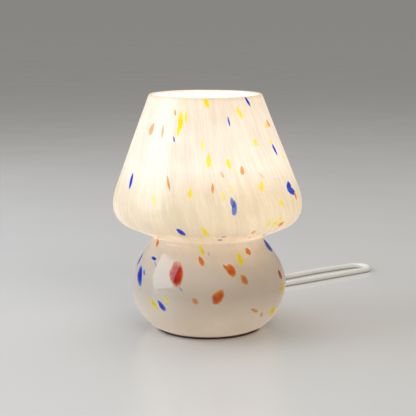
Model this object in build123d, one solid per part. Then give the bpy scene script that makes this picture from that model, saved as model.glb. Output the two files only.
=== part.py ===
from build123d import *
import math
import os

# A mushroom table lamp blown in one piece of speckled opal glass: a wide cup, pinched in at a neck,
# on a round base. Millimetres, +Z up. The origin is the centre of the foot on the table, and +Y is
# the back, where the cord comes out.

# ---------------------------------------------------------------- driving dimensions
# Blown glass, as radii and heights of its outer face
HEIGHT = 225.0
WALL = 3.2
CUP_RADIUS = 90.0
CUP_WIDEST_Z = 120.0
CUP_UPPER_ROUND = 48.0
CUP_LOWER_ROUND = 20.0
CUP_WALL_LEAN = 21.0
CUP_UNDERSIDE_SLOPE = 23.0
NECK_ROUND = 3.0
BASE_RADIUS = 74.6
BASE_WIDEST_Z = 44.0
BASE_UPPER_ROUND = 42.0
BASE_LOWER_ROUND = 50.0
BASE_SHOULDER_LEAN = 36.0
FOOT_INNER_RADIUS = 44.0
FOOT_CORNER_ROUND = 3.0
FOOT_THICKNESS = 3.5
PUNT_RISE = 10.0
PUNT_SKIN = 4.5
FIXING_HOLE_RADIUS = 6.5

# Foot pad and the clamped stack through the raised bottom of the glass
PAD_RADIUS = 50.0
PAD_THICKNESS = 2.0
PLATE_RADIUS = 25.0
PLATE_THICKNESS = 1.2
WASHER_RADIUS = 24.0
WASHER_THICKNESS = 1.5
TUBE_RADIUS = 5.0
TUBE_BORE = 4.0
NUT_ACROSS_FLATS = 14.0
NUT_HEIGHT = 4.0
SPRING_WASHER_RADIUS = 8.5
SPRING_WASHER_HEIGHT = 0.8
SPRING_WASHER_SPLIT = 1.0
FIT = 0.05

# Stem and E14 lampholder
STEM_RADIUS = 9.0
STEM_HEIGHT = 15.0
STEM_FLOOR = 4.3
STEM_CAVITY_RADIUS = 6.5
STEM_CAVITY_HEIGHT = 8.0
STEM_WINDOW_RADIUS = 3.5
NIPPLE_BORE = 3.5
NIPPLE_LENGTH = 9.5
CAP_RADIUS = 14.5
CAP_HEIGHT = 20.8
CAP_FLOOR = 4.0
CAP_INNER_RADIUS = 12.3
BARREL_RADIUS = 14.0
BARREL_BORE = 12.0
BARREL_HEIGHT = 29.0
SPIGOT_RADIUS = 12.2
SPIGOT_LENGTH = 5.0
INSERT_RADIUS = 10.4
INSERT_HEIGHT = 12.0
INSERT_POCKET_RADIUS = 8.0
INSERT_POCKET_DEPTH = 6.0
SHELL_BORE = 7.05
SHELL_HEIGHT = 20.0
SHELL_SKIN = 0.4
THREAD_DEPTH = 0.4
THREAD_PITCH = 2.82
TERMINAL_SIZE = (4.5, 7.0, 4.0)
TERMINAL_SPACING = 9.0
SCREW_RADIUS = 1.5
SCREW_HEAD_RADIUS = 2.6
SCREW_HEAD_HEIGHT = 1.6

# Bulb, a frosted LED globe on an E14 cap
BULB_TIP_Z = 61.5
BULB_CAP_RADIUS = 6.95
BULB_CAP_LENGTH = 25.0
GLOBE_RADIUS = 22.5
GLOBE_CENTRE_Z = 118.0
HOUSING_TOP_Z = 108.0
HOUSING_SKIN = 1.6
DIFFUSER_SKIN = 1.2
LED_COUNT = 9
LED_SIZE = (2.8, 3.5, 0.7)
LED_RING_RADIUS = 11.5

# Cord
CORD_RADIUS = 2.9
CORE_RADIUS = 1.15
CORE_SPACING = 2.5
CORD_HOLE_RADIUS = 5.0
CORD_HOLE_DIP = 32.0
CORD_INSIDE_Z = 30.5
CORD_INSIDE_BEND = 50.0
GROMMET_FLANGE_RADIUS = 7.5
GROMMET_LENGTH = 16.0
CLAMP_WIDTH = 18.0
CLAMP_LENGTH = 9.0
CLAMP_Y = 17.5
CLAMP_BAR_HEIGHT = 3.0
CLAMP_SCREW_SPACING = 12.0

# Cord switch, lying on the table
SWITCH_LENGTH = 60.0
SWITCH_WIDTH = 23.0
SWITCH_HEIGHT = 18.0
SWITCH_SKIN = 1.8
SWITCH_ROUND = 5.0
SWITCH_HEADING = 213.0
SWITCH_ENTRY = (61.5, 173.3)
ROCKER_REACH = 9.2
ROCKER_WIDTH = 11.6
ROCKER_PIVOT_Z = 13.0
ROCKER_TILT = 9.0
ROCKER_GAP = 0.2
TRUNNION_RADIUS = 1.4
TRUNNION_REACH = 7.9
TRUNNION_PLAY = 0.06

# Coil of the spare cord, wound clockwise, in from the outside on top and out again below
COIL_CENTRE = (-37.0, 160.1)
COIL_OUTER_RADIUS = 42.6
COIL_PITCH = 6.4
COIL_TURNS = 3
COIL_START_ANGLE = -57.0
COIL_TOP_Z = 9.9
COIL_BOTTOM_Z = 3.6
TIE_WIDTH = 10.0
TIE_THICKNESS = 0.6
TIE_ANGLE = 205.0

# Flat two-pin plug
PLUG_HEADING = 18.0
PLUG_THICKNESS = 13.7
PLUG_LENGTH = 34.0
PLUG_FACE_WIDTH = 31.0
PLUG_WAIST_WIDTH = 22.0
PLUG_NECK_WIDTH = 11.0
PLUG_RELIEF_LENGTH = 20.0
PLUG_RELIEF_RIBS = 7
PIN_RADIUS = 2.0
PIN_LENGTH = 19.0
PIN_SPACING = 18.6
PIN_SLEEVE_LENGTH = 10.0
PIN_CORE_RADIUS = 1.5

# Cord routes on the table, point by point from the lamp to the plug
CORD_TABLE_Z = CORD_RADIUS
SWITCH_CORD_Z = SWITCH_HEIGHT / 2
PLUG_CORD_Z = PLUG_THICKNESS / 2

UPRIGHT = (Align.CENTER, Align.CENTER, Align.MIN)


# ---------------------------------------------------------------- shape helpers
def polar(centre, radius, degrees):
    """The point at an angle and a distance from a centre, both in one plane."""
    angle = math.radians(degrees)
    return (centre[0] + radius * math.cos(angle), centre[1] + radius * math.sin(angle))


def disc(radius, bottom, top):
    """An upright cylinder on the lamp's axis."""
    return Pos(0, 0, bottom) * Cylinder(radius, top - bottom, align=UPRIGHT)


def ring(outer, inner, bottom, top):
    """An upright tube on the lamp's axis."""
    return disc(outer, bottom, top) - disc(inner, bottom, top)


def turned(edges):
    """A solid of revolution about the lamp's axis from a closed half section."""
    return revolve(Plane.XZ * make_face(edges), Axis.Z)


def outline(points):
    """The straight sides of a closed section."""
    return Polyline(*points, close=True).edges()


def threaded_side(radius, depth, bottom, pitch, turns):
    """Rounded rings up a side, as on a rolled lamp thread, from crest radius and depth."""
    side = []
    root = radius - depth
    for turn in range(turns):
        low = bottom + turn * pitch
        side.append(ThreePointArc((root, low), (radius, low + pitch / 2), (root, low + pitch)))
    return side


def screw(length):
    """A pan-head screw with a crossed slot, its head's underside at z 0, pointing down."""
    head = disc(SCREW_HEAD_RADIUS, 0, SCREW_HEAD_HEIGHT)
    head = fillet(head.edges().group_by(Axis.Z)[-1], 0.6)
    slot = Box(2.6, 0.6, 1.4) + Box(0.6, 2.6, 1.4)
    return head + disc(SCREW_RADIUS, -length, 0) - Pos(0, 0, SCREW_HEAD_HEIGHT) * slot


def corner_radii(points):
    """Each corner's arc: as large as 0.45 of its shorter run allows."""
    radii = []
    for before, here, after in zip(points, points[1:], points[2:]):
        run_in = Vector(*here) - Vector(*before)
        run_out = Vector(*after) - Vector(*here)
        turn = math.radians(run_in.get_angle(run_out))
        radii.append(0.45 * min(run_in.length, run_out.length) / math.tan(turn / 2))
    return radii


def tube(path, radius):
    """A round rod swept along a path."""
    return sweep(Plane(origin=path @ 0, z_dir=path % 0) * Circle(radius), path=path)


def cord_tube(name, points):
    """A free stretch of the cord, with its length and its bends printed."""
    radii = corner_radii(points)
    path = FilletPolyline(*points, radius=radii)
    solid = tube(path, CORD_RADIUS)
    section = math.pi * CORD_RADIUS ** 2 * path.length
    rounded = [round(radius, 1) for radius in radii]
    print(f"{name}: length {path.length:.1f}, volume / section x length {solid.volume / section:.4f}")
    print(f"{name}: bend radii {rounded}")
    return solid


# ---------------------------------------------------------------- blown glass
CUP_UPPER_CENTRE = (CUP_RADIUS - CUP_UPPER_ROUND, CUP_WIDEST_Z)
CUP_LOWER_CENTRE = (CUP_RADIUS - CUP_LOWER_ROUND, CUP_WIDEST_Z)
BASE_UPPER_CENTRE = (BASE_RADIUS - BASE_UPPER_ROUND, BASE_WIDEST_Z)
BASE_LOWER_CENTRE = (BASE_RADIUS - BASE_LOWER_ROUND, BASE_WIDEST_Z)
FOOT_Z = PAD_THICKNESS
PUNT_Z = FOOT_Z + PUNT_RISE
FLOOR_Z = PUNT_Z + FOOT_THICKNESS


def neck_centre():
    """Centre of the pinched neck's round, which touches the cup's underside and the base's shoulder."""
    under = math.radians(CUP_UNDERSIDE_SLOPE - 90)
    shoulder = math.radians(BASE_SHOULDER_LEAN)
    under_reach = CUP_LOWER_ROUND + NECK_ROUND
    under_reach += math.cos(under) * CUP_LOWER_CENTRE[0] + math.sin(under) * CUP_LOWER_CENTRE[1]
    shoulder_reach = BASE_UPPER_ROUND + NECK_ROUND
    shoulder_reach += math.cos(shoulder) * BASE_UPPER_CENTRE[0] + math.sin(shoulder) * BASE_UPPER_CENTRE[1]
    spread = math.sin(shoulder - under)
    radius = (under_reach * math.sin(shoulder) - shoulder_reach * math.sin(under)) / spread
    height = (shoulder_reach * math.cos(under) - under_reach * math.cos(shoulder)) / spread
    return (radius, height)


def wall_section(inset, rim_z, foot_z):
    """The wall's line from rim to foot, at a depth inside the outer face."""
    swell = CenterArc(CUP_UPPER_CENTRE, CUP_UPPER_ROUND - inset, CUP_WALL_LEAN, -CUP_WALL_LEAN)
    lean = math.radians(CUP_WALL_LEAN)
    start = swell @ 0
    climb = rim_z - start.Y
    rim = (start.X - climb * math.tan(lean), rim_z)
    underside = CenterArc(CUP_LOWER_CENTRE, CUP_LOWER_ROUND - inset, 0, CUP_UNDERSIDE_SLOPE - 90)
    neck_turn = 90 - CUP_UNDERSIDE_SLOPE + BASE_SHOULDER_LEAN
    neck = CenterArc(neck_centre(), NECK_ROUND + inset, 90 + CUP_UNDERSIDE_SLOPE, neck_turn)
    shoulder = CenterArc(BASE_UPPER_CENTRE, BASE_UPPER_ROUND - inset, BASE_SHOULDER_LEAN, -BASE_SHOULDER_LEAN)
    dip = math.degrees(math.asin((BASE_WIDEST_Z - foot_z) / (BASE_LOWER_ROUND - inset)))
    belly = CenterArc(BASE_LOWER_CENTRE, BASE_LOWER_ROUND - inset, 0, -dip)
    return [
        Line(rim, start),
        swell,
        underside,
        Line(underside @ 1, neck @ 0),
        neck,
        Line(neck @ 1, shoulder @ 0),
        shoulder,
        belly,
    ]


def glass_body():
    """Cup, neck and base in one wall, with a fire-polished rim and a bottom pushed up in the middle."""
    lean = math.radians(CUP_WALL_LEAN)
    rim_middle_z = HEIGHT - WALL / 2
    rise = WALL / 2 * math.sin(lean)
    outer = wall_section(0, rim_middle_z + rise, FOOT_Z)
    moat_z = FOOT_Z + FOOT_THICKNESS
    inner = wall_section(WALL, rim_middle_z - rise, moat_z)
    outer_rim = outer[0] @ 0
    inner_rim = inner[0] @ 0
    rim_middle = (outer_rim + inner_rim) * 0.5
    rim_top = rim_middle + Vector(-math.sin(lean), math.cos(lean)) * (WALL / 2)
    punt_top_radius = FOOT_INNER_RADIUS - PUNT_RISE
    inner_shift = PUNT_SKIN * math.sqrt(2)
    floor_edge = FOOT_INNER_RADIUS + inner_shift - (FLOOR_Z - FOOT_Z)
    moat_edge = FOOT_INNER_RADIUS + inner_shift - FOOT_THICKNESS
    bottom = Polyline(
        outer[-1] @ 1,
        (FOOT_INNER_RADIUS, FOOT_Z),
        (punt_top_radius, PUNT_Z),
        (FIXING_HOLE_RADIUS, PUNT_Z),
        (FIXING_HOLE_RADIUS, FLOOR_Z),
        (floor_edge, FLOOR_Z),
        (moat_edge, moat_z),
        inner[-1] @ 1,
    )
    rim = ThreePointArc(outer_rim, rim_top, inner_rim)
    section = make_face(outer + inner + bottom.edges() + [rim])
    rounded_corners = (
        (outer[-1] @ 1, FOOT_CORNER_ROUND),
        (Vector(FOOT_INNER_RADIUS, FOOT_Z), 1.5),
        (Vector(punt_top_radius, PUNT_Z), 3.0),
        (Vector(floor_edge, FLOOR_Z), 3.0),
        (Vector(moat_edge, moat_z), 2.0),
        (inner[-1] @ 1, 2.0),
    )
    for corner, radius in rounded_corners:
        section = fillet(section.vertices().sort_by_distance(corner)[0], radius)
    body = revolve(Plane.XZ * section, Axis.Z)
    return body - CORD_HOLE * Cylinder(CORD_HOLE_RADIUS, 8 * WALL)


# The cord hole's frame: origin on the outer face at the back, local Z out of the glass and down
HOLE_Y, HOLE_Z = polar(BASE_LOWER_CENTRE, BASE_LOWER_ROUND, -CORD_HOLE_DIP)
HOLE_DIP = math.radians(CORD_HOLE_DIP)
HOLE_DIRECTION = Vector(0, math.cos(HOLE_DIP), -math.sin(HOLE_DIP))
CORD_HOLE = Plane(origin=(0, HOLE_Y, HOLE_Z), x_dir=(1, 0, 0), z_dir=HOLE_DIRECTION)
CORD_EXIT = Vector(0, HOLE_Y, HOLE_Z) + HOLE_DIRECTION * GROMMET_LENGTH


# ---------------------------------------------------------------- foot and clamped stack
LOWER_WASHER_Z = PUNT_Z - WASHER_THICKNESS
LOWER_PLATE_Z = LOWER_WASHER_Z - PLATE_THICKNESS
SPRING_WASHER_Z = LOWER_PLATE_Z - SPRING_WASHER_HEIGHT
LOWER_NUT_Z = SPRING_WASHER_Z - NUT_HEIGHT
UPPER_PLATE_Z = FLOOR_Z + WASHER_THICKNESS
UPPER_NUT_Z = UPPER_PLATE_Z + PLATE_THICKNESS
STEM_Z = UPPER_NUT_Z + NUT_HEIGHT
CAP_Z = STEM_Z + STEM_HEIGHT
TUBE_BOTTOM_Z = LOWER_NUT_Z - 1
TUBE_TOP_Z = STEM_Z + STEM_FLOOR + 1
NIPPLE_Z = CAP_Z + CAP_FLOOR + 1.8 - NIPPLE_LENGTH


def foot_pad():
    """Dark pad glued under the foot ring, its lower edge eased."""
    pad = disc(PAD_RADIUS, 0, PAD_THICKNESS)
    return fillet(pad.edges().group_by(Axis.Z)[0], 0.5)


def plate(bottom):
    """Pressed steel disc that spreads the clamping load on the glass."""
    body = ring(PLATE_RADIUS, TUBE_RADIUS + FIT, bottom, bottom + PLATE_THICKNESS)
    return fillet(body.edges().filter_by(GeomType.CIRCLE).group_by(SortBy.RADIUS)[-1], 0.3)


def rubber_washer(bottom):
    """Rubber disc between a plate and the glass."""
    return ring(WASHER_RADIUS, TUBE_RADIUS + FIT, bottom, bottom + WASHER_THICKNESS)


def lock_nut(bottom):
    """Thin hexagon nut with its corners turned down."""
    hexagon = extrude(RegularPolygon(NUT_ACROSS_FLATS / 2, 6, major_radius=False), NUT_HEIGHT)
    corner = NUT_ACROSS_FLATS / math.sqrt(3)
    eased = chamfer(Cylinder(corner, NUT_HEIGHT, align=UPRIGHT).edges().filter_by(GeomType.CIRCLE), 0.7)
    return Pos(0, 0, bottom) * (hexagon & eased) - disc(TUBE_RADIUS + FIT, bottom, bottom + NUT_HEIGHT)


def spring_washer():
    """Split ring under the lower nut."""
    body = ring(SPRING_WASHER_RADIUS, TUBE_RADIUS + 2 * FIT, SPRING_WASHER_Z, LOWER_PLATE_Z)
    middle = (SPRING_WASHER_RADIUS + TUBE_RADIUS) / 2
    split = Pos(middle, 0, SPRING_WASHER_Z) * Box(6, SPRING_WASHER_SPLIT, 2)
    return body - split


def threaded_tube():
    """Hollow threaded tube that ties the stem to the glass."""
    body = ring(TUBE_RADIUS, TUBE_BORE, TUBE_BOTTOM_Z, TUBE_TOP_Z)
    return chamfer(body.edges().filter_by(GeomType.CIRCLE).group_by(SortBy.RADIUS)[-1], 0.5)


# ---------------------------------------------------------------- stem and lampholder
INSERT_Z = CAP_Z + CAP_HEIGHT - 4
SHELL_Z = INSERT_Z + INSERT_HEIGHT - INSERT_POCKET_DEPTH
BARREL_Z = CAP_Z + CAP_HEIGHT
TERMINAL_Z = INSERT_Z - TERMINAL_SIZE[2]


def stem():
    """Turned spacer with a cavity, where the cord comes in at the back and its cores turn up."""
    body = disc(STEM_RADIUS, STEM_Z, CAP_Z)
    body = chamfer(body.edges().filter_by(GeomType.CIRCLE), 0.6)
    cavity_z = STEM_Z + STEM_FLOOR
    body -= disc(STEM_CAVITY_RADIUS, cavity_z, cavity_z + STEM_CAVITY_HEIGHT)
    body -= disc(TUBE_RADIUS + FIT, STEM_Z, CAP_Z)
    window = Cylinder(STEM_WINDOW_RADIUS, 2 * STEM_RADIUS, align=UPRIGHT)
    return body - Plane(origin=(0, 0, CORD_INSIDE_Z), z_dir=(0, 1, 0)) * window


def upper_nipple():
    """Short threaded tube that screws the lampholder to the stem."""
    body = ring(TUBE_RADIUS, NIPPLE_BORE, NIPPLE_Z, NIPPLE_Z + NIPPLE_LENGTH)
    return chamfer(body.edges().filter_by(GeomType.CIRCLE).group_by(SortBy.RADIUS)[-1], 0.5)


def holder_cap():
    """Lampholder's lower cup, with its threaded floor."""
    body = disc(CAP_RADIUS, CAP_Z, BARREL_Z)
    body = fillet(body.edges().group_by(Axis.Z)[0], 2.5)
    body -= disc(CAP_INNER_RADIUS, CAP_Z + CAP_FLOOR, BARREL_Z)
    return body - disc(TUBE_RADIUS + FIT, CAP_Z, CAP_Z + CAP_FLOOR)


def holder_barrel():
    """Lampholder's upper sleeve, its spigot screwed into the cup, with ribs for the fingers."""
    top = BARREL_Z + BARREL_HEIGHT
    grip_top = BARREL_Z + 12
    spigot_z = BARREL_Z - SPIGOT_LENGTH
    spigot_bore = INSERT_RADIUS + 2 * FIT
    body = disc(BARREL_RADIUS, BARREL_Z, top) + disc(SPIGOT_RADIUS, spigot_z, BARREL_Z)
    body = fillet(body.edges().group_by(Axis.Z)[-1], 0.8)
    flute = Pos(0, 0, BARREL_Z + 1) * Cylinder(0.6, grip_top - BARREL_Z - 1, align=UPRIGHT)
    for index in range(24):
        body -= Rot(0, 0, index * 15) * (Pos(BARREL_RADIUS + 0.2, 0, 0) * flute)
    body -= disc(spigot_bore, spigot_z, INSERT_Z + INSERT_HEIGHT)
    return body - disc(BARREL_BORE, INSERT_Z + INSERT_HEIGHT, top)


def holder_insert():
    """Moulded core that carries the contacts and the screw shell in its pocket."""
    top = INSERT_Z + INSERT_HEIGHT
    body = disc(INSERT_RADIUS, INSERT_Z, top)
    return body - disc(INSERT_POCKET_RADIUS, SHELL_Z, top)


def screw_shell():
    """Rolled brass shell that the bulb's cap turns into."""
    turns = 6
    thread_z = SHELL_Z + 2
    crest = SHELL_BORE + THREAD_DEPTH
    inner = threaded_side(crest, THREAD_DEPTH, thread_z, THREAD_PITCH, turns)
    thread_top = thread_z + turns * THREAD_PITCH
    top = SHELL_Z + SHELL_HEIGHT
    outer_radius = crest + SHELL_SKIN
    side = Polyline(
        (SHELL_BORE, thread_top),
        (SHELL_BORE, top),
        (outer_radius, top),
        (outer_radius, SHELL_Z),
        (SHELL_BORE, SHELL_Z),
        (SHELL_BORE, thread_z),
    )
    return turned(inner + side.edges())


def centre_contact():
    """Springy brass tongue under the bulb's tip."""
    strip = 0.4
    top = BULB_TIP_Z - 0.15
    low = SHELL_Z
    section = outline((
        (-6.2, low),
        (-3.0, low),
        (0.0, top - strip),
        (3.5, top - strip - 0.5),
        (3.5, top - 0.5),
        (0.0, top),
        (-3.2, low + strip),
        (-6.2, low + strip),
    ))
    return extrude(Plane.XZ * make_face(section), 2, both=True)


def terminals():
    """Two brass terminal blocks under the insert."""
    blocks = Part()
    for side in (-1, 1):
        blocks += Pos(side * TERMINAL_SPACING / 2, 0, TERMINAL_Z) * Box(*TERMINAL_SIZE, align=UPRIGHT)
    return blocks


def terminal_screws():
    """Clamping screws in the sides of the terminal blocks."""
    face_y = -TERMINAL_SIZE[1] / 2
    middle_z = TERMINAL_Z + TERMINAL_SIZE[2] / 2
    head = disc(1.6, 0, 1.2) - Pos(0, 0, 1.2) * Box(4, 0.5, 1)
    screws = Part()
    for side in (-1, 1):
        place = Plane(origin=(side * TERMINAL_SPACING / 2, face_y, middle_z), z_dir=(0, -1, 0))
        screws += place * head
    return screws


def core_wire(side):
    """One insulated core, from the cord's end in the stem up to its terminal."""
    near = side * CORE_SPACING / 2
    far = side * TERMINAL_SPACING / 2
    points = (
        (near, 5, CORD_INSIDE_Z),
        (near, 0, CORD_INSIDE_Z),
        (near, 0, CAP_Z + 7.5),
        (far, 0, TERMINAL_Z - 3),
        (far, 0, TERMINAL_Z),
    )
    path = FilletPolyline(*points, radius=corner_radii(points))
    return tube(path, CORE_RADIUS)


# ---------------------------------------------------------------- cord inside the base
def cord_grommet():
    """Soft bush snapped into the glass, with a tapered sleeve round the cord outside."""
    bore = CORD_RADIUS + FIT
    neck = CORD_HOLE_RADIUS - 2 * FIT
    section = outline((
        (bore, -8.0),
        (neck, -8.0),
        (6.5, -4.0),
        (neck, -4.0),
        (neck, 0.0),
        (GROMMET_FLANGE_RADIUS, 0.0),
        (GROMMET_FLANGE_RADIUS, 1.6),
        (5.4, 2.8),
        (3.9, GROMMET_LENGTH),
        (bore, GROMMET_LENGTH),
    ))
    return CORD_HOLE * turned(section)


def cord_inside():
    """The cord from the grommet's tip through the clamp to the stem."""
    bend_y = HOLE_Y - (CORD_INSIDE_Z - HOLE_Z) / math.tan(HOLE_DIP)
    bend = (0, bend_y, CORD_INSIDE_Z)
    path = FilletPolyline(CORD_EXIT, bend, (0, 5, CORD_INSIDE_Z), radius=CORD_INSIDE_BEND)
    return tube(path, CORD_RADIUS)


def cord_trough():
    """The round channel that the clamp leaves for the cord."""
    start = Plane(origin=(0, CLAMP_Y - CLAMP_LENGTH, CORD_INSIDE_Z), z_dir=(0, 1, 0))
    return start * Cylinder(CORD_RADIUS + FIT, 2 * CLAMP_LENGTH, align=UPRIGHT)


def clamp_screw_places():
    """Where the clamp's two screws stand."""
    return [(side * CLAMP_SCREW_SPACING / 2, CLAMP_Y) for side in (-1, 1)]


def cord_clamp_block():
    """Moulded block on the upper plate, with half of the cord's channel in its top."""
    bottom = UPPER_PLATE_Z + PLATE_THICKNESS
    height = CORD_INSIDE_Z - 0.3 - bottom
    block = Pos(0, CLAMP_Y, bottom) * Box(CLAMP_WIDTH, CLAMP_LENGTH, height, align=UPRIGHT)
    block = fillet(block.edges().filter_by(Axis.Z), 1.5) - cord_trough()
    for x, y in clamp_screw_places():
        block -= Pos(x, y, 0) * disc(SCREW_RADIUS + FIT, CORD_INSIDE_Z - 9, CORD_INSIDE_Z)
    return block


def cord_clamp_bar():
    """Bar that the screws pull down on the cord."""
    bottom = CORD_INSIDE_Z + 0.3
    bar = Pos(0, CLAMP_Y, bottom) * Box(CLAMP_WIDTH, CLAMP_LENGTH - 2, CLAMP_BAR_HEIGHT, align=UPRIGHT)
    hump = Plane(origin=(0, CLAMP_Y - CLAMP_LENGTH / 2 + 1, CORD_INSIDE_Z), z_dir=(0, 1, 0))
    arch = hump * Cylinder(CORD_RADIUS + 1.6, CLAMP_LENGTH - 2, align=UPRIGHT)
    arch &= Pos(0, CLAMP_Y, bottom) * Box(CLAMP_WIDTH, CLAMP_LENGTH, 10, align=UPRIGHT)
    bar = bar + arch - cord_trough()
    for x, y in clamp_screw_places():
        bar -= Pos(x, y, 0) * disc(SCREW_RADIUS + FIT, CORD_INSIDE_Z, CORD_INSIDE_Z + 10)
    return bar


def clamp_screws():
    """The clamp's two screws."""
    top = CORD_INSIDE_Z + 0.3 + CLAMP_BAR_HEIGHT
    screws = Part()
    for x, y in clamp_screw_places():
        screws += Pos(x, y, top) * screw(11)
    return screws


# ---------------------------------------------------------------- bulb
BULB_SHOULDER_Z = BULB_TIP_Z + BULB_CAP_LENGTH
BULB_THREAD_Z = BULB_TIP_Z + 4.5
BULB_INNER = BULB_CAP_RADIUS - THREAD_DEPTH - 0.4


def bulb_tip():
    """Solder pip at the bottom of the cap."""
    pip = disc(2.4, BULB_TIP_Z, BULB_TIP_Z + 1.5)
    return fillet(pip.edges().group_by(Axis.Z)[0], 0.9)


def bulb_insulator():
    """Dark glass bead between the pip and the thread."""
    low = BULB_TIP_Z + 1.5
    return turned(outline(((0, low), (3.4, low), (BULB_INNER - 0.1, BULB_THREAD_Z), (0, BULB_THREAD_Z))))


def bulb_cap():
    """Rolled screw cap, flared at the top where it grips the housing."""
    turns = 6
    root = BULB_CAP_RADIUS - THREAD_DEPTH
    thread_top = BULB_THREAD_Z + turns * THREAD_PITCH
    outer = threaded_side(BULB_CAP_RADIUS, THREAD_DEPTH, BULB_THREAD_Z, THREAD_PITCH, turns)
    side = Polyline(
        (root, thread_top),
        (8.2, thread_top + 1.4),
        (8.2, BULB_SHOULDER_Z),
        (7.7, BULB_SHOULDER_Z),
        (BULB_INNER, thread_top + 0.6),
        (BULB_INNER, BULB_THREAD_Z),
        (root, BULB_THREAD_Z),
    )
    return turned(outer + side.edges())


def globe_radius_at(height, radius):
    """The globe's radius at a height."""
    return math.sqrt(radius ** 2 - (height - GLOBE_CENTRE_Z) ** 2)


def bulb_housing():
    """White trumpet between the screw cap and the globe."""
    top_radius = globe_radius_at(HOUSING_TOP_Z, GLOBE_RADIUS)
    skin = HOUSING_SKIN
    low = BULB_SHOULDER_Z
    low_radius = 9.4
    outer = ThreePointArc((low_radius, low), (14.6, 96.0), (top_radius, HOUSING_TOP_Z))
    inner = ThreePointArc((top_radius - skin, HOUSING_TOP_Z), (14.6 - skin, 96.4), (low_radius - skin, low))
    return turned([outer, Line(outer @ 1, inner @ 0), inner, Line(inner @ 1, outer @ 0)])


def bulb_diffuser():
    """Frosted globe that stands on the housing."""
    outer_radius = globe_radius_at(HOUSING_TOP_Z, GLOBE_RADIUS)
    inner_globe = GLOBE_RADIUS - DIFFUSER_SKIN
    inner_radius = globe_radius_at(HOUSING_TOP_Z, inner_globe)
    top = GLOBE_CENTRE_Z + GLOBE_RADIUS
    outer_foot = (outer_radius, HOUSING_TOP_Z)
    inner_foot = (inner_radius, HOUSING_TOP_Z)
    outer = ThreePointArc(outer_foot, (GLOBE_RADIUS, GLOBE_CENTRE_Z), (0, top))
    inner = ThreePointArc((0, top - DIFFUSER_SKIN), (inner_globe, GLOBE_CENTRE_Z), inner_foot)
    return turned([outer, Line(outer @ 1, inner @ 0), inner, Line(inner @ 1, outer @ 0)])


LED_BOARD_Z = HOUSING_TOP_Z - 3.2
LED_BOARD_TOP = LED_BOARD_Z + 1.4


def led_board():
    """Round aluminium board across the housing."""
    return disc(16.2, LED_BOARD_Z, LED_BOARD_TOP)


def led_chips():
    """Chips in a ring on the board, and one in the middle."""
    chip = Box(*LED_SIZE, align=UPRIGHT)
    chips = Pos(0, 0, LED_BOARD_TOP) * chip
    for index in range(LED_COUNT - 1):
        turn = index * 360 / (LED_COUNT - 1)
        chips += Rot(0, 0, turn) * (Pos(LED_RING_RADIUS, 0, LED_BOARD_TOP) * chip)
    return chips


def bulb_driver():
    """Small upright circuit board with its capacitor and coil."""
    board = Pos(0, 0, 78) * Box(9.5, 1.2, 25, align=UPRIGHT)
    capacitor = Pos(0, 3.2, 92) * Cylinder(2.5, 9, align=UPRIGHT)
    inductor = Pos(0, -2.9, 93) * Box(6, 4.4, 6, align=UPRIGHT)
    return board + capacitor + inductor


# ---------------------------------------------------------------- cord switch
SWITCH_DIRECTION = Vector(*polar((0, 0), 1, SWITCH_HEADING))
SWITCH_EXIT = Vector(*SWITCH_ENTRY) + SWITCH_DIRECTION * SWITCH_LENGTH
SWITCH_MIDDLE = Vector(*SWITCH_ENTRY) + SWITCH_DIRECTION * (SWITCH_LENGTH / 2)
SWITCH_PLACE = Pos(SWITCH_MIDDLE.X, SWITCH_MIDDLE.Y, 0) * Rot(0, 0, SWITCH_HEADING)
SWITCH_SCREW_X = 22.0


def switch_half(bottom, top):
    """One half of the switch's shell before its openings: rounded outside, hollow inside."""
    shell = Box(SWITCH_LENGTH - 4, SWITCH_WIDTH, SWITCH_HEIGHT, align=UPRIGHT)
    shell = fillet(shell.edges().filter_by(Axis.Z), SWITCH_ROUND)
    shell = fillet(shell.edges().group_by(Axis.Z)[0] + shell.edges().group_by(Axis.Z)[-1], 2.2)
    nozzle = Plane(origin=(-SWITCH_LENGTH / 2, 0, SWITCH_CORD_Z), z_dir=(1, 0, 0))
    shell += nozzle * Cylinder(4.6, SWITCH_LENGTH, align=UPRIGHT)
    inside_length = SWITCH_LENGTH - 4 - 2 * SWITCH_SKIN
    inside_width = SWITCH_WIDTH - 2 * SWITCH_SKIN
    inside_height = SWITCH_HEIGHT - 2 * SWITCH_SKIN
    inside = Pos(0, 0, SWITCH_SKIN) * Box(inside_length, inside_width, inside_height, align=UPRIGHT)
    shell -= fillet(inside.edges().filter_by(Axis.Z), SWITCH_ROUND - SWITCH_SKIN)
    slab = Pos(0, 0, bottom) * Box(2 * SWITCH_LENGTH, SWITCH_LENGTH, top - bottom, align=UPRIGHT)
    return shell & slab


def switch_base():
    """Lower half: screw pillars, and two posts that carry the rocker's trunnions."""
    body = switch_half(0, SWITCH_HEIGHT / 2)
    for side in (-1, 1):
        pillar = Pos(side * SWITCH_SCREW_X, 0, 0) * disc(3.4, 1, SWITCH_CORD_Z - CORD_RADIUS - 0.4)
        body += pillar
    post_inner = ROCKER_WIDTH / 2 + ROCKER_GAP
    post_outer = SWITCH_WIDTH / 2 - SWITCH_SKIN
    post_top = ROCKER_PIVOT_Z + 2.6
    post = Box(6, post_outer - post_inner, post_top - 1, align=UPRIGHT)
    for side in (-1, 1):
        body += Pos(0, side * (post_inner + post_outer) / 2, 1) * post
    axle_hole = Plane(origin=(0, -9, ROCKER_PIVOT_Z), z_dir=(0, 1, 0))
    body -= axle_hole * Cylinder(TRUNNION_RADIUS + TRUNNION_PLAY, 18, align=UPRIGHT)
    for side in (-1, 1):
        body -= Pos(side * SWITCH_SCREW_X, 0, 0) * disc(SCREW_HEAD_RADIUS + 0.2, 0, 2.4)
        body -= Pos(side * SWITCH_SCREW_X, 0, 0) * disc(SCREW_RADIUS + FIT, 0, SWITCH_HEIGHT)
    return body


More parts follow.
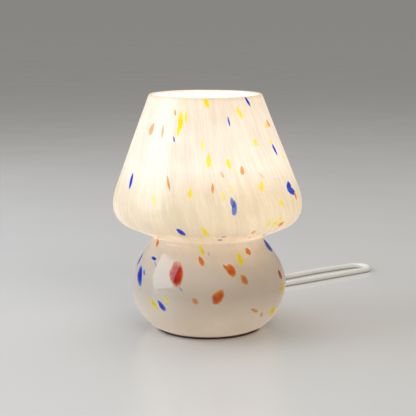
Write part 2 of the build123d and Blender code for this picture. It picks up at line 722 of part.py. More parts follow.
def switch_cover():
    """Upper half, with the rocker's window."""
    body = switch_half(SWITCH_HEIGHT / 2, SWITCH_HEIGHT)
    window = Box(2 * (ROCKER_REACH + ROCKER_GAP), ROCKER_WIDTH + 2 * ROCKER_GAP, SWITCH_HEIGHT, align=UPRIGHT)
    return body - Pos(0, 0, SWITCH_HEIGHT / 2) * window


def switch_rocker():
    """Rocker, dished in its top, tipped to its on side about its trunnions."""
    dish = ROCKER_REACH * math.tan(math.radians(ROCKER_TILT))
    low = ROCKER_PIVOT_Z - 2.5
    trough = ROCKER_PIVOT_Z + 4.4
    side = ROCKER_REACH + 1
    block = outline((
        (-side, low),
        (side, low),
        (side, trough + dish),
        (0, trough),
        (-side, trough + dish),
    ))
    body = extrude(Plane.XZ * make_face(block), ROCKER_WIDTH / 2, both=True)
    across = Plane(origin=(0, -ROCKER_WIDTH / 2, ROCKER_PIVOT_Z), z_dir=(0, 1, 0))
    body &= across * Cylinder(ROCKER_REACH, ROCKER_WIDTH, align=UPRIGHT)
    axle = Plane(origin=(0, -TRUNNION_REACH, ROCKER_PIVOT_Z), z_dir=(0, 1, 0))
    body += axle * Cylinder(TRUNNION_RADIUS, 2 * TRUNNION_REACH, align=UPRIGHT)
    return body.rotate(Axis((0, 0, ROCKER_PIVOT_Z), (0, 1, 0)), ROCKER_TILT)


def switch_contacts():
    """Two brass contact strips on the switch's floor, one under each end of the rocker."""
    strips = Part()
    for side in (-1, 1):
        foot = Pos(side * 12.5, 0, SWITCH_SKIN) * Box(7, 6, 1.0, align=UPRIGHT)
        riser = Pos(side * 9.4, 0, SWITCH_SKIN) * Box(0.8, 6, 4.0, align=UPRIGHT)
        finger = Pos(side * 7.2, 0, SWITCH_SKIN + 3.4) * Box(5.2, 4, 0.6, align=UPRIGHT)
        strips += foot + riser + finger
    return strips


def switch_screws():
    """Two screws from below that hold the halves."""
    screws = Part()
    for side in (-1, 1):
        place = Pos(side * SWITCH_SCREW_X, 0, 2.4) * Rot(180, 0, 0)
        screws += place * screw(2.4)
    return screws


# ---------------------------------------------------------------- coil
COIL_INNER_RADIUS = COIL_OUTER_RADIUS - COIL_PITCH * COIL_TURNS
COIL_END = 2 * COIL_TURNS + 0.5


def coil_point(turn):
    """The cord's middle after a number of turns from the outer end."""
    if turn <= COIL_TURNS:
        radius = COIL_OUTER_RADIUS - COIL_PITCH * turn
        height = COIL_TOP_Z
    elif turn >= COIL_TURNS + 0.5:
        radius = COIL_INNER_RADIUS + COIL_PITCH * (turn - COIL_TURNS - 0.5)
        height = COIL_BOTTOM_Z
    else:
        share = (turn - COIL_TURNS) / 0.5
        radius = COIL_INNER_RADIUS - COIL_PITCH / 2 * share * (1 - share)
        height = COIL_TOP_Z - (COIL_TOP_Z - COIL_BOTTOM_Z) * (1 - math.cos(math.pi * share)) / 2
    x, y = polar(COIL_CENTRE, radius, COIL_START_ANGLE - 360 * turn)
    return Vector(x, y, height)


def coil_heading(turn):
    """The cord's direction at that place."""
    step = 0.0001
    ahead = coil_point(min(turn + step, COIL_END))
    behind = coil_point(max(turn - step, 0))
    return (ahead - behind).normalized()


def biarc(start, start_heading, end, end_heading):
    """Two arcs that join two places and keep both directions."""
    chord = end - start
    along = chord.dot(start_heading + end_heading)
    spread = 2 * (1 - start_heading.dot(end_heading))
    reach = (math.sqrt(along ** 2 + spread * chord.dot(chord)) - along) / spread
    middle = (start + start_heading * reach + end - end_heading * reach) * 0.5
    first = TangentArc(start, middle, tangent=start_heading)
    second = TangentArc(middle, end, tangent=first % 1)
    return [first, second]


def coil_path():
    """Straight ends one diameter long, and a biarc for each quarter turn."""
    lead = 2 * CORD_RADIUS
    first = coil_point(0)
    last = coil_point(COIL_END)
    edges = [Line(first - coil_heading(0) * lead, first)]
    quarters = round(COIL_END * 4)
    for quarter in range(quarters):
        here = quarter / 4
        there = here + 0.25
        edges += biarc(coil_point(here), coil_heading(here), coil_point(there), coil_heading(there))
    edges.append(Line(last, last + coil_heading(COIL_END) * lead))
    return Wire(edges)


def least_gap(path):
    """The smallest gap of the coil to itself, on points along it."""
    step = 2.0
    count = int(path.length / step)
    points = [tuple(path @ (index / count)) for index in range(count + 1)]
    apart = int(6 * CORD_RADIUS / step) + 1
    least = math.inf
    for index, here in enumerate(points):
        for there in points[index + apart:]:
            least = min(least, math.dist(here, there))
    return least - 2 * CORD_RADIUS


def coil_tie():
    """Hook-and-loop strap round the bundle, its end folded over on top."""
    inner_face = COIL_INNER_RADIUS - CORD_RADIUS - 1.6
    outer_face = COIL_OUTER_RADIUS + CORD_RADIUS + 0.6
    top = COIL_TOP_Z + CORD_RADIUS + 0.2 + TIE_THICKNESS
    length = outer_face - inner_face
    band = RectangleRounded(length + 2 * TIE_THICKNESS, top, 3.0)
    band -= RectangleRounded(length, top - 2 * TIE_THICKNESS, 2.4)
    across = Plane(origin=(0, 0, 0), x_dir=(1, 0, 0), z_dir=(0, 1, 0))
    strap = extrude(across * band, TIE_WIDTH / 2, both=True)
    middle = (inner_face + outer_face) / 2
    strap = Pos(middle, 0, top / 2) * strap
    flap = Pos(middle + 2, 0, top) * Box(14, TIE_WIDTH, TIE_THICKNESS, align=UPRIGHT)
    return Pos(*COIL_CENTRE, 0) * Rot(0, 0, TIE_ANGLE) * (strap + flap)


# ---------------------------------------------------------------- plug
PLUG_ENTRY = Vector(1.1, 224.6)
PLUG_DIRECTION = Vector(*polar((0, 0), 1, PLUG_HEADING))
PLUG_FACE = PLUG_ENTRY + PLUG_DIRECTION * (PLUG_RELIEF_LENGTH + PLUG_LENGTH)
PLUG_PLACE = Pos(PLUG_FACE.X, PLUG_FACE.Y, PLUG_CORD_Z) * Rot(0, 0, PLUG_HEADING)


def plug_body():
    """Moulded body, flat above and below, waisted for the fingers; its pin face is at local x 0."""
    half_face = PLUG_FACE_WIDTH / 2
    half_waist = PLUG_WAIST_WIDTH / 2
    half_neck = PLUG_NECK_WIDTH / 2
    side = Polyline(
        (-PLUG_LENGTH, half_neck),
        (-PLUG_LENGTH * 0.72, half_waist * 0.8),
        (-PLUG_LENGTH * 0.42, half_waist),
        (-PLUG_LENGTH * 0.16, half_face),
        (0, half_face - 1.5),
        (0, 1.5 - half_face),
        (-PLUG_LENGTH * 0.16, -half_face),
        (-PLUG_LENGTH * 0.42, -half_waist),
        (-PLUG_LENGTH * 0.72, -half_waist * 0.8),
        (-PLUG_LENGTH, -half_neck),
        close=True,
    )
    body = extrude(make_face(side.edges()), PLUG_THICKNESS / 2, both=True)
    flats = body.edges().group_by(Axis.Z)
    return fillet(flats[0] + flats[-1], 1.8)


def plug_strain_relief():
    """Ribbed sleeve between the plug's body and the cord."""
    start = -PLUG_LENGTH - PLUG_RELIEF_LENGTH
    axis = Plane(origin=(start, 0, 0), z_dir=(1, 0, 0))
    sleeve = Cone(3.6, 4.4, PLUG_RELIEF_LENGTH, align=UPRIGHT)
    pitch = PLUG_RELIEF_LENGTH / PLUG_RELIEF_RIBS
    for index in range(PLUG_RELIEF_RIBS):
        rib = Cylinder(4.3 + 0.14 * index, pitch * 0.55, align=UPRIGHT)
        sleeve += Pos(0, 0, (index + 0.45) * pitch) * rib
    return axis * sleeve


def plug_pin_places():
    """The axes of the two pins, along local x from the pin face."""
    return [Plane(origin=(0, side * PIN_SPACING / 2, 0), z_dir=(1, 0, 0)) for side in (-1, 1)]


def plug_pins():
    """Two round pins, thinner where their sleeves sit, with rounded tips."""
    bare = PIN_LENGTH - PIN_SLEEVE_LENGTH
    tip = Pos(0, 0, PIN_SLEEVE_LENGTH) * Cylinder(PIN_RADIUS, bare, align=UPRIGHT)
    tip = fillet(tip.edges().group_by(Axis.Z)[-1], 1.4)
    pin = tip + Cylinder(PIN_CORE_RADIUS, PIN_SLEEVE_LENGTH, align=UPRIGHT)
    pins = Part()
    for place in plug_pin_places():
        pins += place * pin
    return pins


def plug_pin_sleeves():
    """Insulating sleeves on the roots of the pins."""
    sleeve = Cylinder(PIN_RADIUS, PIN_SLEEVE_LENGTH, align=UPRIGHT)
    sleeve -= Cylinder(PIN_CORE_RADIUS, PIN_SLEEVE_LENGTH, align=UPRIGHT)
    sleeves = Part()
    for place in plug_pin_places():
        sleeves += place * sleeve
    return sleeves


# ---------------------------------------------------------------- cord routes
COIL_WIRE = coil_path()
COIL_START = COIL_WIRE @ 0
COIL_FINISH = COIL_WIRE @ 1
COIL_OUT = coil_heading(COIL_END)
GROMMET_NEAR = CORD_EXIT + HOLE_DIRECTION * 8
SWITCH_NEAR = Vector(*SWITCH_ENTRY) - SWITCH_DIRECTION * 11
SWITCH_PAST = SWITCH_EXIT + SWITCH_DIRECTION * 8
PLUG_NEAR = PLUG_ENTRY - PLUG_DIRECTION * 12

# From the grommet down to the table, round to the right behind the lamp, out in a straight strand to
# a tight turn, and back to the switch
LAMP_TO_SWITCH = (
    tuple(CORD_EXIT),
    tuple(GROMMET_NEAR),
    (0.0, 94.0, CORD_TABLE_Z),
    (1.4, 103.9, CORD_TABLE_Z),
    (6.7, 114.6, CORD_TABLE_Z),
    (16.7, 124.3, CORD_TABLE_Z),
    (34.6, 133.4, CORD_TABLE_Z),
    (56.5, 143.2, CORD_TABLE_Z),
    (87.0, 161.0, CORD_TABLE_Z),
    (187.0, 232.5, CORD_TABLE_Z),
    (189.5, 242.0, CORD_TABLE_Z),
    (184.0, 251.0, CORD_TABLE_Z),
    (173.5, 254.0, CORD_TABLE_Z),
    (128.0, 226.0, CORD_TABLE_Z),
    (104.0, 206.5, CORD_TABLE_Z),
    (86.0, 192.6, CORD_TABLE_Z),
    (SWITCH_NEAR.X, SWITCH_NEAR.Y, SWITCH_CORD_Z),
    (*SWITCH_ENTRY, SWITCH_CORD_Z),
)

SWITCH_TO_COIL = (
    (SWITCH_EXIT.X, SWITCH_EXIT.Y, SWITCH_CORD_Z),
    (SWITCH_PAST.X, SWITCH_PAST.Y, SWITCH_CORD_Z),
    tuple(COIL_START - coil_heading(0) * 9),
    tuple(COIL_START),
)

COIL_TO_PLUG = (
    tuple(COIL_FINISH),
    tuple(COIL_FINISH + COIL_OUT * 14),
    (-27.7, 215.2, 5.2),
    (PLUG_NEAR.X, PLUG_NEAR.Y, PLUG_CORD_Z),
    (PLUG_ENTRY.X, PLUG_ENTRY.Y, PLUG_CORD_Z),
)


# ---------------------------------------------------------------- nodes
NODES = {
    "foot_pad": foot_pad(),
    "glass_body": glass_body(),
    "lower_plate": plate(LOWER_PLATE_Z),
    "rubber_washer_lower": rubber_washer(LOWER_WASHER_Z),
    "rubber_washer_upper": rubber_washer(FLOOR_Z),
    "upper_plate": plate(UPPER_PLATE_Z),
    "threaded_tube": threaded_tube(),
    "lock_nut_lower": lock_nut(LOWER_NUT_Z),
    "lock_nut_upper": lock_nut(UPPER_NUT_Z),
    "spring_washer": spring_washer(),
    "stem": stem(),
    "upper_nipple": upper_nipple(),
    "holder_cap": holder_cap(),
    "holder_barrel": holder_barrel(),
    "holder_insert": holder_insert(),
    "screw_shell": screw_shell(),
    "centre_contact": centre_contact(),
    "terminals": terminals(),
    "terminal_screws": terminal_screws(),
    "core_live": core_wire(1),
    "core_neutral": core_wire(-1),
    "cord_grommet": cord_grommet(),
    "cord_inside": cord_inside(),
    "cord_clamp_block": cord_clamp_block(),
    "cord_clamp_bar": cord_clamp_bar(),
    "clamp_screws": clamp_screws(),
    "bulb_tip": bulb_tip(),
    "bulb_insulator": bulb_insulator(),
    "bulb_cap": bulb_cap(),
    "bulb_housing": bulb_housing(),
    "bulb_diffuser": bulb_diffuser(),
    "led_board": led_board(),
    "led_chips": led_chips(),
    "bulb_driver": bulb_driver(),
    "switch_base": SWITCH_PLACE * switch_base(),
    "switch_cover": SWITCH_PLACE * switch_cover(),
    "switch_rocker": SWITCH_PLACE * switch_rocker(),
    "switch_contacts": SWITCH_PLACE * switch_contacts(),
    "switch_screws": SWITCH_PLACE * switch_screws(),
    "cord_lamp_to_switch": cord_tube("cord_lamp_to_switch", LAMP_TO_SWITCH),
    "cord_switch_to_coil": cord_tube("cord_switch_to_coil", SWITCH_TO_COIL),
    "cord_coil": tube(COIL_WIRE, CORD_RADIUS),
    "coil_tie": coil_tie(),
    "cord_coil_to_plug": cord_tube("cord_coil_to_plug", COIL_TO_PLUG),
    "plug_strain_relief": PLUG_PLACE * plug_strain_relief(),
    "plug_body": PLUG_PLACE * plug_body(),
    "plug_pins": PLUG_PLACE * plug_pins(),
    "plug_pin_sleeves": PLUG_PLACE * plug_pin_sleeves(),
}

os.makedirs("parts", exist_ok=True)
for name, shape in NODES.items():
    export_step(shape, f"parts/{name}.step")

coil_section = math.pi * CORD_RADIUS ** 2 * COIL_WIRE.length
print(f"coil: length {COIL_WIRE.length:.1f}, least gap to itself {least_gap(COIL_WIRE):.2f}")
print(f"coil: volume / section x length {NODES['cord_coil'].volume / coil_section:.4f}")
print(f"cord exit {CORD_EXIT}, switch exit {SWITCH_EXIT}, plug face {PLUG_FACE}")
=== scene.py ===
import math
import random

import bpy
from mathutils import Matrix, Vector


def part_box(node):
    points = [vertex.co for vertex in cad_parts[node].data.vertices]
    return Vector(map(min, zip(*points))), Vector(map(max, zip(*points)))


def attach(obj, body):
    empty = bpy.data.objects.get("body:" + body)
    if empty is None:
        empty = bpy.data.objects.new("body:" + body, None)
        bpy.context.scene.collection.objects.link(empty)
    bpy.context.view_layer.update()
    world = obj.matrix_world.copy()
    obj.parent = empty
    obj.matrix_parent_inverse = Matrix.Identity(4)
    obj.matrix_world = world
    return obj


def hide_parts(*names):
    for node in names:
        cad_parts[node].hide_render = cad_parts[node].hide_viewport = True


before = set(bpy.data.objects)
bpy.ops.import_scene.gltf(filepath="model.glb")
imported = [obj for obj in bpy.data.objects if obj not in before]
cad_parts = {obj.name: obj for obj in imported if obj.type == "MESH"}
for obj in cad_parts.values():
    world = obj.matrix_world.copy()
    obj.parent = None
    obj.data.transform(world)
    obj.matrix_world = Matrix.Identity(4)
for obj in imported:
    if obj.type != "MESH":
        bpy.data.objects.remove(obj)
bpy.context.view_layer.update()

# ==================== Camera
# The photograph is square, taken with a long lens from a little over a metre in front of the lamp.
# The lens stands just above the lamp's rim and looks down by ten degrees.
PHOTO_WIDTH = 416
LENS_IN_PIXELS = 1150
SENSOR_WIDTH = 36
EYE = Vector((-0.0006, -1.085, 0.302))
EYE_DIP = math.radians(9.74)

bpy.ops.object.camera_add(location=EYE, rotation=(math.pi / 2 - EYE_DIP, 0, 0))
camera = bpy.context.object
camera.name = "camera"
camera.data.sensor_width = SENSOR_WIDTH
camera.data.lens = SENSOR_WIDTH * LENS_IN_PIXELS / PHOTO_WIDTH
camera.data.clip_start = 0.05
camera.data.clip_end = 120
bpy.context.scene.camera = camera
bpy.context.scene.view_settings.view_transform = "Standard"


# ==================== Cord
# Round two-core flex in a white soft-PVC sheath, 5.8 mm thick and nearly two metres long. It leaves the
# base at the back, runs out to the right and back to its switch, and the rest lies behind the lamp in
# a coil, wound in from the outside on top and out again below, with the plug beside it.
CORD_DIAMETER = 0.0058

LAMP_TO_SWITCH = (
    (0.0, 0.080571, 0.009025), (0.0, 0.087355, 0.004786), (0.0, 0.0940, 0.0029),
    (0.0014, 0.1039, 0.0029), (0.0067, 0.1146, 0.0029), (0.0167, 0.1243, 0.0029),
    (0.0346, 0.1334, 0.0029), (0.0565, 0.1432, 0.0029), (0.0870, 0.1610, 0.0029),
    (0.1155, 0.1814, 0.0029), (0.1789, 0.2267, 0.0029), (0.1870, 0.2325, 0.0029),
    (0.1895, 0.2420, 0.0029), (0.1840, 0.2510, 0.0029), (0.1735, 0.2540, 0.0029),
    (0.1650, 0.2488, 0.0029), (0.1280, 0.2260, 0.0029), (0.1040, 0.2065, 0.0029),
    (0.0860, 0.1926, 0.0029), (0.070725, 0.179291, 0.0090), (0.0615, 0.1733, 0.0090),
)

SWITCH_TO_COIL = ((0.011180, 0.140622, 0.0090), (0.004470, 0.136265, 0.0090), (-0.001194, 0.132130, 0.0099))

COIL_TO_PLUG = (
    (-0.043862, 0.207010, 0.0036), (-0.0277, 0.2152, 0.0052),
    (-0.010313, 0.220892, 0.00685), (0.0011, 0.2246, 0.00685),
)

COIL_CENTRE = Vector((-0.0370, 0.1601, 0))
COIL_OUTER_RADIUS = 0.0426
COIL_PITCH = 0.0064
COIL_TURNS = 3
COIL_CROSSING = 0.5
COIL_START_ANGLE = math.radians(-57)
COIL_TOP = 0.0099
COIL_BOTTOM = 0.0036
COIL_POINTS_A_TURN = 16


def put(tree, kind, *wires, **settings):
    """Adds a node with its settings; a wire is a socket with a value or with another node's output."""
    node = tree.nodes.new(kind)
    for name, value in settings.items():
        setattr(node, name, value)
    for socket, value in wires:
        if isinstance(value, bpy.types.NodeSocket):
            tree.links.new(value, node.inputs[socket])
        else:
            node.inputs[socket].default_value = value
    return node


def object_place(tree):
    """Where a point of the surface is, in the object's own space."""
    return put(tree, "ShaderNodeTexCoord").outputs["Object"]


def noise(tree, place, scale, detail, roughness=0.5):
    """A noise read at a place."""
    wires = ("Vector", place), ("Scale", scale), ("Detail", detail), ("Roughness", roughness)
    return put(tree, "ShaderNodeTexNoise", *wires).outputs["Fac"]


def remap(tree, value, given=(0.0, 1.0), wanted=(0.0, 1.0)):
    """A value carried over from a given range to a wanted one, and kept within that."""
    return put(tree, "ShaderNodeMapRange", *enumerate((value, *given, *wanted))).outputs[0]


def maths(tree, operation, *values):
    """The result of a sum on single values."""
    return put(tree, "ShaderNodeMath", *enumerate(values), operation=operation).outputs[0]


def blend(tree, share, near, far):
    """A colour between two others, or between a socket's colour and another."""
    pair = [side if isinstance(side, bpy.types.NodeSocket) else (*side, 1) for side in (near, far)]
    wires = (0, share), ("A", pair[0]), ("B", pair[1])
    return put(tree, "ShaderNodeMix", *wires, data_type="RGBA").outputs["Result"]


def bumped(tree, height, strength, distance):
    """The normal of a surface with a small relief."""
    wires = ("Height", height), ("Strength", strength), ("Distance", distance)
    return put(tree, "ShaderNodeBump", *wires).outputs["Normal"]


def new_material(name, colour, roughness, **sockets):
    """A material, its node tree and its shader, where what is the same all over is set on the sockets."""
    material = bpy.data.materials.new(name)
    material.use_nodes = True
    shader = material.node_tree.nodes["Principled BSDF"]
    shader.inputs["Base Color"].default_value = (*colour, 1)
    shader.inputs["Roughness"].default_value = roughness
    for socket, value in sockets.items():
        shader.inputs[socket.replace("_", " ")].default_value = value
    return material, material.node_tree, shader


def feed(shader, **sockets):
    """Links what changes over the surface to the shader."""
    for socket, value in sockets.items():
        shader.id_data.links.new(value, shader.inputs[socket.replace("_", " ")])


def coil_turn_point(turn):
    """Where the cord's middle is after a number of turns from the coil's outer end."""
    inner = COIL_OUTER_RADIUS - COIL_PITCH * COIL_TURNS
    if turn <= COIL_TURNS:
        radius = COIL_OUTER_RADIUS - COIL_PITCH * turn
        height = COIL_TOP
    elif turn >= COIL_TURNS + COIL_CROSSING:
        radius = inner + COIL_PITCH * (turn - COIL_TURNS - COIL_CROSSING)
        height = COIL_BOTTOM
    else:
        share = (turn - COIL_TURNS) / COIL_CROSSING
        radius = inner - COIL_PITCH / 2 * share * (1 - share)
        height = COIL_TOP - (COIL_TOP - COIL_BOTTOM) * (1 - math.cos(math.pi * share)) / 2
    # a NURBS line runs inside its control points, by the cosine of half a step
    radius /= math.cos(math.pi / COIL_POINTS_A_TURN)
    angle = COIL_START_ANGLE - math.tau * turn
    return COIL_CENTRE + Vector((radius * math.cos(angle), radius * math.sin(angle), height))


def lay_flex(name, points):
    """A flex as one smooth curve, with its route's points as control points."""
    curve = bpy.data.curves.new(name, "CURVE")
    curve.dimensions = "3D"
    line = curve.splines.new("NURBS")
    line.points.add(len(points) - 1)
    for place, point in zip(line.points, points):
        place.co = (*point, 1)
    line.order_u = 3
    line.use_endpoint_u = True
    line.resolution_u = 8
    curve.bevel_depth = CORD_DIAMETER / 2
    curve.bevel_resolution = 5
    curve.use_fill_caps = True
    flex = bpy.data.objects.new(name, curve)
    bpy.context.scene.collection.objects.link(flex)
    return flex


def sheath_material():
    """White soft PVC, a little satin, with the faint waves that the twisted cores leave in it."""
    material, tree, shader = new_material("white_sheath", (0.80, 0.79, 0.76), 0.36, IOR=1.5)
    place = object_place(tree)
    waves = noise(tree, place, 120, 3)
    tint = blend(tree, noise(tree, place, 22, 2), (0.74, 0.72, 0.68), (0.84, 0.83, 0.80))
    gloss = remap(tree, waves, wanted=(0.28, 0.46))
    feed(shader, Base_Color=tint, Roughness=gloss, Normal=bumped(tree, waves, 0.25, 0.0003))
    return material


white_sheath = sheath_material()

flex_to_switch = lay_flex("flex_to_switch", LAMP_TO_SWITCH)
flex_to_switch.data.materials.append(white_sheath)
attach(flex_to_switch, "lamp")
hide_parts("cord_lamp_to_switch")

coil_steps = round((2 * COIL_TURNS + COIL_CROSSING) * COIL_POINTS_A_TURN)
coil_points = [coil_turn_point(step / COIL_POINTS_A_TURN) for step in range(coil_steps + 1)]
flex_coiled = lay_flex("flex_coiled", [*SWITCH_TO_COIL, *coil_points, *COIL_TO_PLUG])
flex_coiled.data.materials.append(white_sheath)
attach(flex_coiled, "lamp")
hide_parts("cord_switch_to_coil", "cord_coil", "cord_coil_to_plug")


# ==================== Table and light
# A plain pale table without an edge, a large window on the left, whose reflection lies on the base,
# and soft light from the front, from the sky behind on the left and from above.
FAR_TABLE_COLOUR = (0.246, 0.237, 0.224)
TABLE_RADIUS = 60
ROOM_LEVEL = 0.38


def table_material():
    """Plain pale stone with a faint polish."""
    material, tree, shader = new_material("pale_table", (0.68, 0.675, 0.67), 0.24)
    cloud = noise(tree, object_place(tree), 6, 4)
    tint = blend(tree, cloud, (0.66, 0.655, 0.65), (0.70, 0.695, 0.69))
    feed(shader, Base_Color=tint, Roughness=remap(tree, cloud, wanted=(0.20, 0.27)))
    return material


def soft_light(name, place, aim_height, size, watts, colour, roll=0):
    """A rectangular soft light that faces the lamp's axis at a height, rolled by some degrees."""
    bpy.ops.object.light_add(type="AREA", location=place)
    light = bpy.context.object
    light.name = name
    ahead = Vector((0, 0, aim_height)) - Vector(place)
    light.rotation_euler = ahead.to_track_quat("-Z", "Y").to_euler()
    light.rotation_euler.rotate_axis("Z", math.radians(roll))
    light.data.shape = "RECTANGLE"
    light.data.size, light.data.size_y = size
    light.data.energy = watts
    light.data.color = colour
    return light


bpy.ops.mesh.primitive_circle_add(vertices=128, radius=TABLE_RADIUS, fill_type="NGON")
table = bpy.context.object
table.name = "table"
table.data.materials.append(table_material())

soft_light("window", (-1.3, -0.28, 0.72), 0.09, (1.0, 1.35), 13.2, (0.75, 0.87, 1.0), roll=22)
for not_mirrored in (
    soft_light("front", (0.9, -1.9, 1.5), 0.10, (1.4, 1.4), 18, (1.0, 0.92, 0.79)),
    soft_light("sky", (-1.15, 0.70, 0.50), 0.06, (0.9, 0.8), 4, (0.80, 0.86, 1.0)),
):
    not_mirrored.visible_glossy = False
soft_light("overhead", (0.1, 0.5, 1.9), 0.10, (1.6, 1.6), 14, (1.0, 0.97, 0.93))

# what is seen or mirrored beyond the table has the far table's colour, so that no horizon shows
world = bpy.data.worlds.new("room")
bpy.context.scene.world = world
world.use_nodes = True
room = world.node_tree
ambient = room.nodes["Background"]
ambient.inputs["Color"].default_value = (1.0, 0.97, 0.93, 1)
ambient.inputs["Strength"].default_value = ROOM_LEVEL
far_table = put(room, "ShaderNodeBackground", ("Color", (*FAR_TABLE_COLOUR, 1)), ("Strength", 1.0))
path = put(room, "ShaderNodeLightPath").outputs
seen = maths(room, "MAXIMUM", path["Is Camera Ray"], path["Is Glossy Ray"])
pick = put(room, "ShaderNodeMixShader", (0, seen), (1, ambient.outputs[0]), (2, far_table.outputs[0]))
room.links.new(pick.outputs[0], room.nodes["World Output"].inputs["Surface"])


# ==================== Blown glass
# One piece of opal glass, blown into a mould and pinched in at the neck: cup, neck and base in a single
# 3.2 mm wall. The rim is fire-polished round, and the bottom is pushed up and drilled for its fixing.
# Hand-blown, it leans about a degree to the left and is nowhere quite round.
WALL = 0.0032
RIM_MIDDLE_Z = 0.2234
FOOT_Z = 0.002
CUP_UPPER = (0.042, 0.120, 0.048)
CUP_LOWER = (0.070, 0.120, 0.020)
NECK = (0.055616, 0.088873, 0.003)
BASE_UPPER = (0.0326, 0.044, 0.042)
BASE_LOWER = (0.0246, 0.044, 0.050)
CUP_WALL_LEAN = 21
UNDERSIDE_LEAN = 67
SHOULDER_LEAN = 36
RING_STEP = 0.0024
RING_SIDES = 192
RIM_STEP = 0.0006
LEAN_BY_HEIGHT = ((0.0, 0.0), (0.075, 0.0), (0.120, -0.0011), (0.225, -0.0030))
OUTER_FOOT_RISE = 0.0026
INNER_FOOT_RISE = 0.0053
WAVE_HEIGHT = 0.0008
CORD_HOLE = Vector((0, 0.067002, 0.017504))
CORD_HOLE_DIP = math.radians(32)
CORD_HOLE_RADIUS = 0.0050
hole_direction = Vector((0, math.cos(CORD_HOLE_DIP), -math.sin(CORD_HOLE_DIP)))


def select_only(*pieces):
    """Selects these pieces and nothing else, and makes the first one active."""
    bpy.ops.object.select_all(action="DESELECT")
    for piece in pieces:
        piece.select_set(True)
    bpy.context.view_layer.objects.active = pieces[0]


def set_in_place(piece):
    """Puts a finished piece's place, turn and size into its mesh."""
    select_only(piece)
    bpy.ops.object.transform_apply(location=True, rotation=True, scale=True)


def apply_modifier(piece, kind, **settings):
    """Adds a modifier, sets it and applies it."""
    select_only(piece)
    modifier = piece.modifiers.new(kind.lower(), kind)
    for name, value in settings.items():
        setattr(modifier, name, value)
    bpy.ops.object.modifier_apply(modifier=modifier.name)


def arc(middle, inset, start, end, step):
    """Points of a section along an arc, from one angle to another."""
    x, z, radius = middle
    radius -= inset
    count = max(2, math.ceil(abs(math.radians(end - start)) * radius / step))
    angles = [math.radians(start + (end - start) * index / count) for index in range(count + 1)]
    return [(x + radius * math.cos(angle), z + radius * math.sin(angle)) for angle in angles]


def steps(start, end, count):
    """Even steps on a straight line, from its start up to the last before its end."""
    (x, z), (far_x, far_z) = start, end
    return [(x + (far_x - x) * index / count, z + (far_z - z) * index / count) for index in range(count)]


def wall_line(inset, rim_z, foot_z):
    """The wall's section from the rim down to the foot, at a depth inside the outer face."""
    swell = arc(CUP_UPPER, inset, CUP_WALL_LEAN, 0, RING_STEP)
    top_x, top_z = swell[0]
    rim_x = top_x - (rim_z - top_z) * math.tan(math.radians(CUP_WALL_LEAN))
    straight = steps((rim_x, rim_z), swell[0], math.ceil((rim_z - top_z) / RING_STEP))
    underside = arc(CUP_LOWER, inset, 0, -UNDERSIDE_LEAN, RING_STEP * 0.7)
    neck = arc(NECK, -inset, 180 - UNDERSIDE_LEAN, 180 + SHOULDER_LEAN, RING_STEP * 0.4)
    shoulder = arc(BASE_UPPER, inset, SHOULDER_LEAN, 0, RING_STEP)
    dip = math.degrees(math.asin((BASE_LOWER[1] - foot_z) / (BASE_LOWER[2] - inset)))
    belly = arc(BASE_LOWER, inset, 0, -dip, RING_STEP)
    line = straight + swell[:-1] + underside
    for piece in (neck, shoulder[:-1] + belly):
        count = max(1, round(math.dist(line[-1], piece[0]) / RING_STEP))
        line += steps(line[-1], piece[0], count)[1:] + piece
    return line


def lean_at(height):
    """How far the glass has sagged sideways at a height."""
    for (low, near), (high, far) in zip(LEAN_BY_HEIGHT, LEAN_BY_HEIGHT[1:]):
        if height <= high:
            share = (height - low) / (high - low)
            return near + (far - near) * share * share * (3 - 2 * share)
    return LEAN_BY_HEIGHT[-1][1]


def turn_up(name, section, sides, sag=lambda height: 0):
    """Spins a closed section into a solid, ring by ring, from its points' radius and height."""
    radius, height = section[0]
    bpy.ops.mesh.primitive_circle_add(vertices=sides, radius=radius, location=(0, 0, height))
    piece = bpy.context.object
    piece.name = name
    bpy.ops.object.transform_apply(location=True)
    bpy.ops.object.mode_set(mode="EDIT")
    bpy.ops.mesh.select_all(action="SELECT")
    for far_radius, far_height in section[1:]:
        bpy.ops.mesh.extrude_edges_move()
        size = far_radius / radius
        bpy.ops.transform.resize(value=(size, size, 1), center_override=(sag(height), 0, height))
        bpy.ops.transform.translate(value=(sag(far_height) - sag(height), 0, far_height - height))
        radius, height = far_radius, far_height
    # the last ring meets the first, so that the skin is closed all round
    bpy.ops.mesh.select_mode(type="EDGE")
    bpy.ops.mesh.select_all(action="DESELECT")
    bpy.ops.mesh.select_non_manifold(extend=False)
    bpy.ops.mesh.bridge_edge_loops()
    bpy.ops.mesh.select_all(action="SELECT")
    bpy.ops.mesh.normals_make_consistent(inside=False)
    bpy.ops.mesh.select_mode(type="VERT")
    bpy.ops.object.mode_set(mode="OBJECT")
    return piece


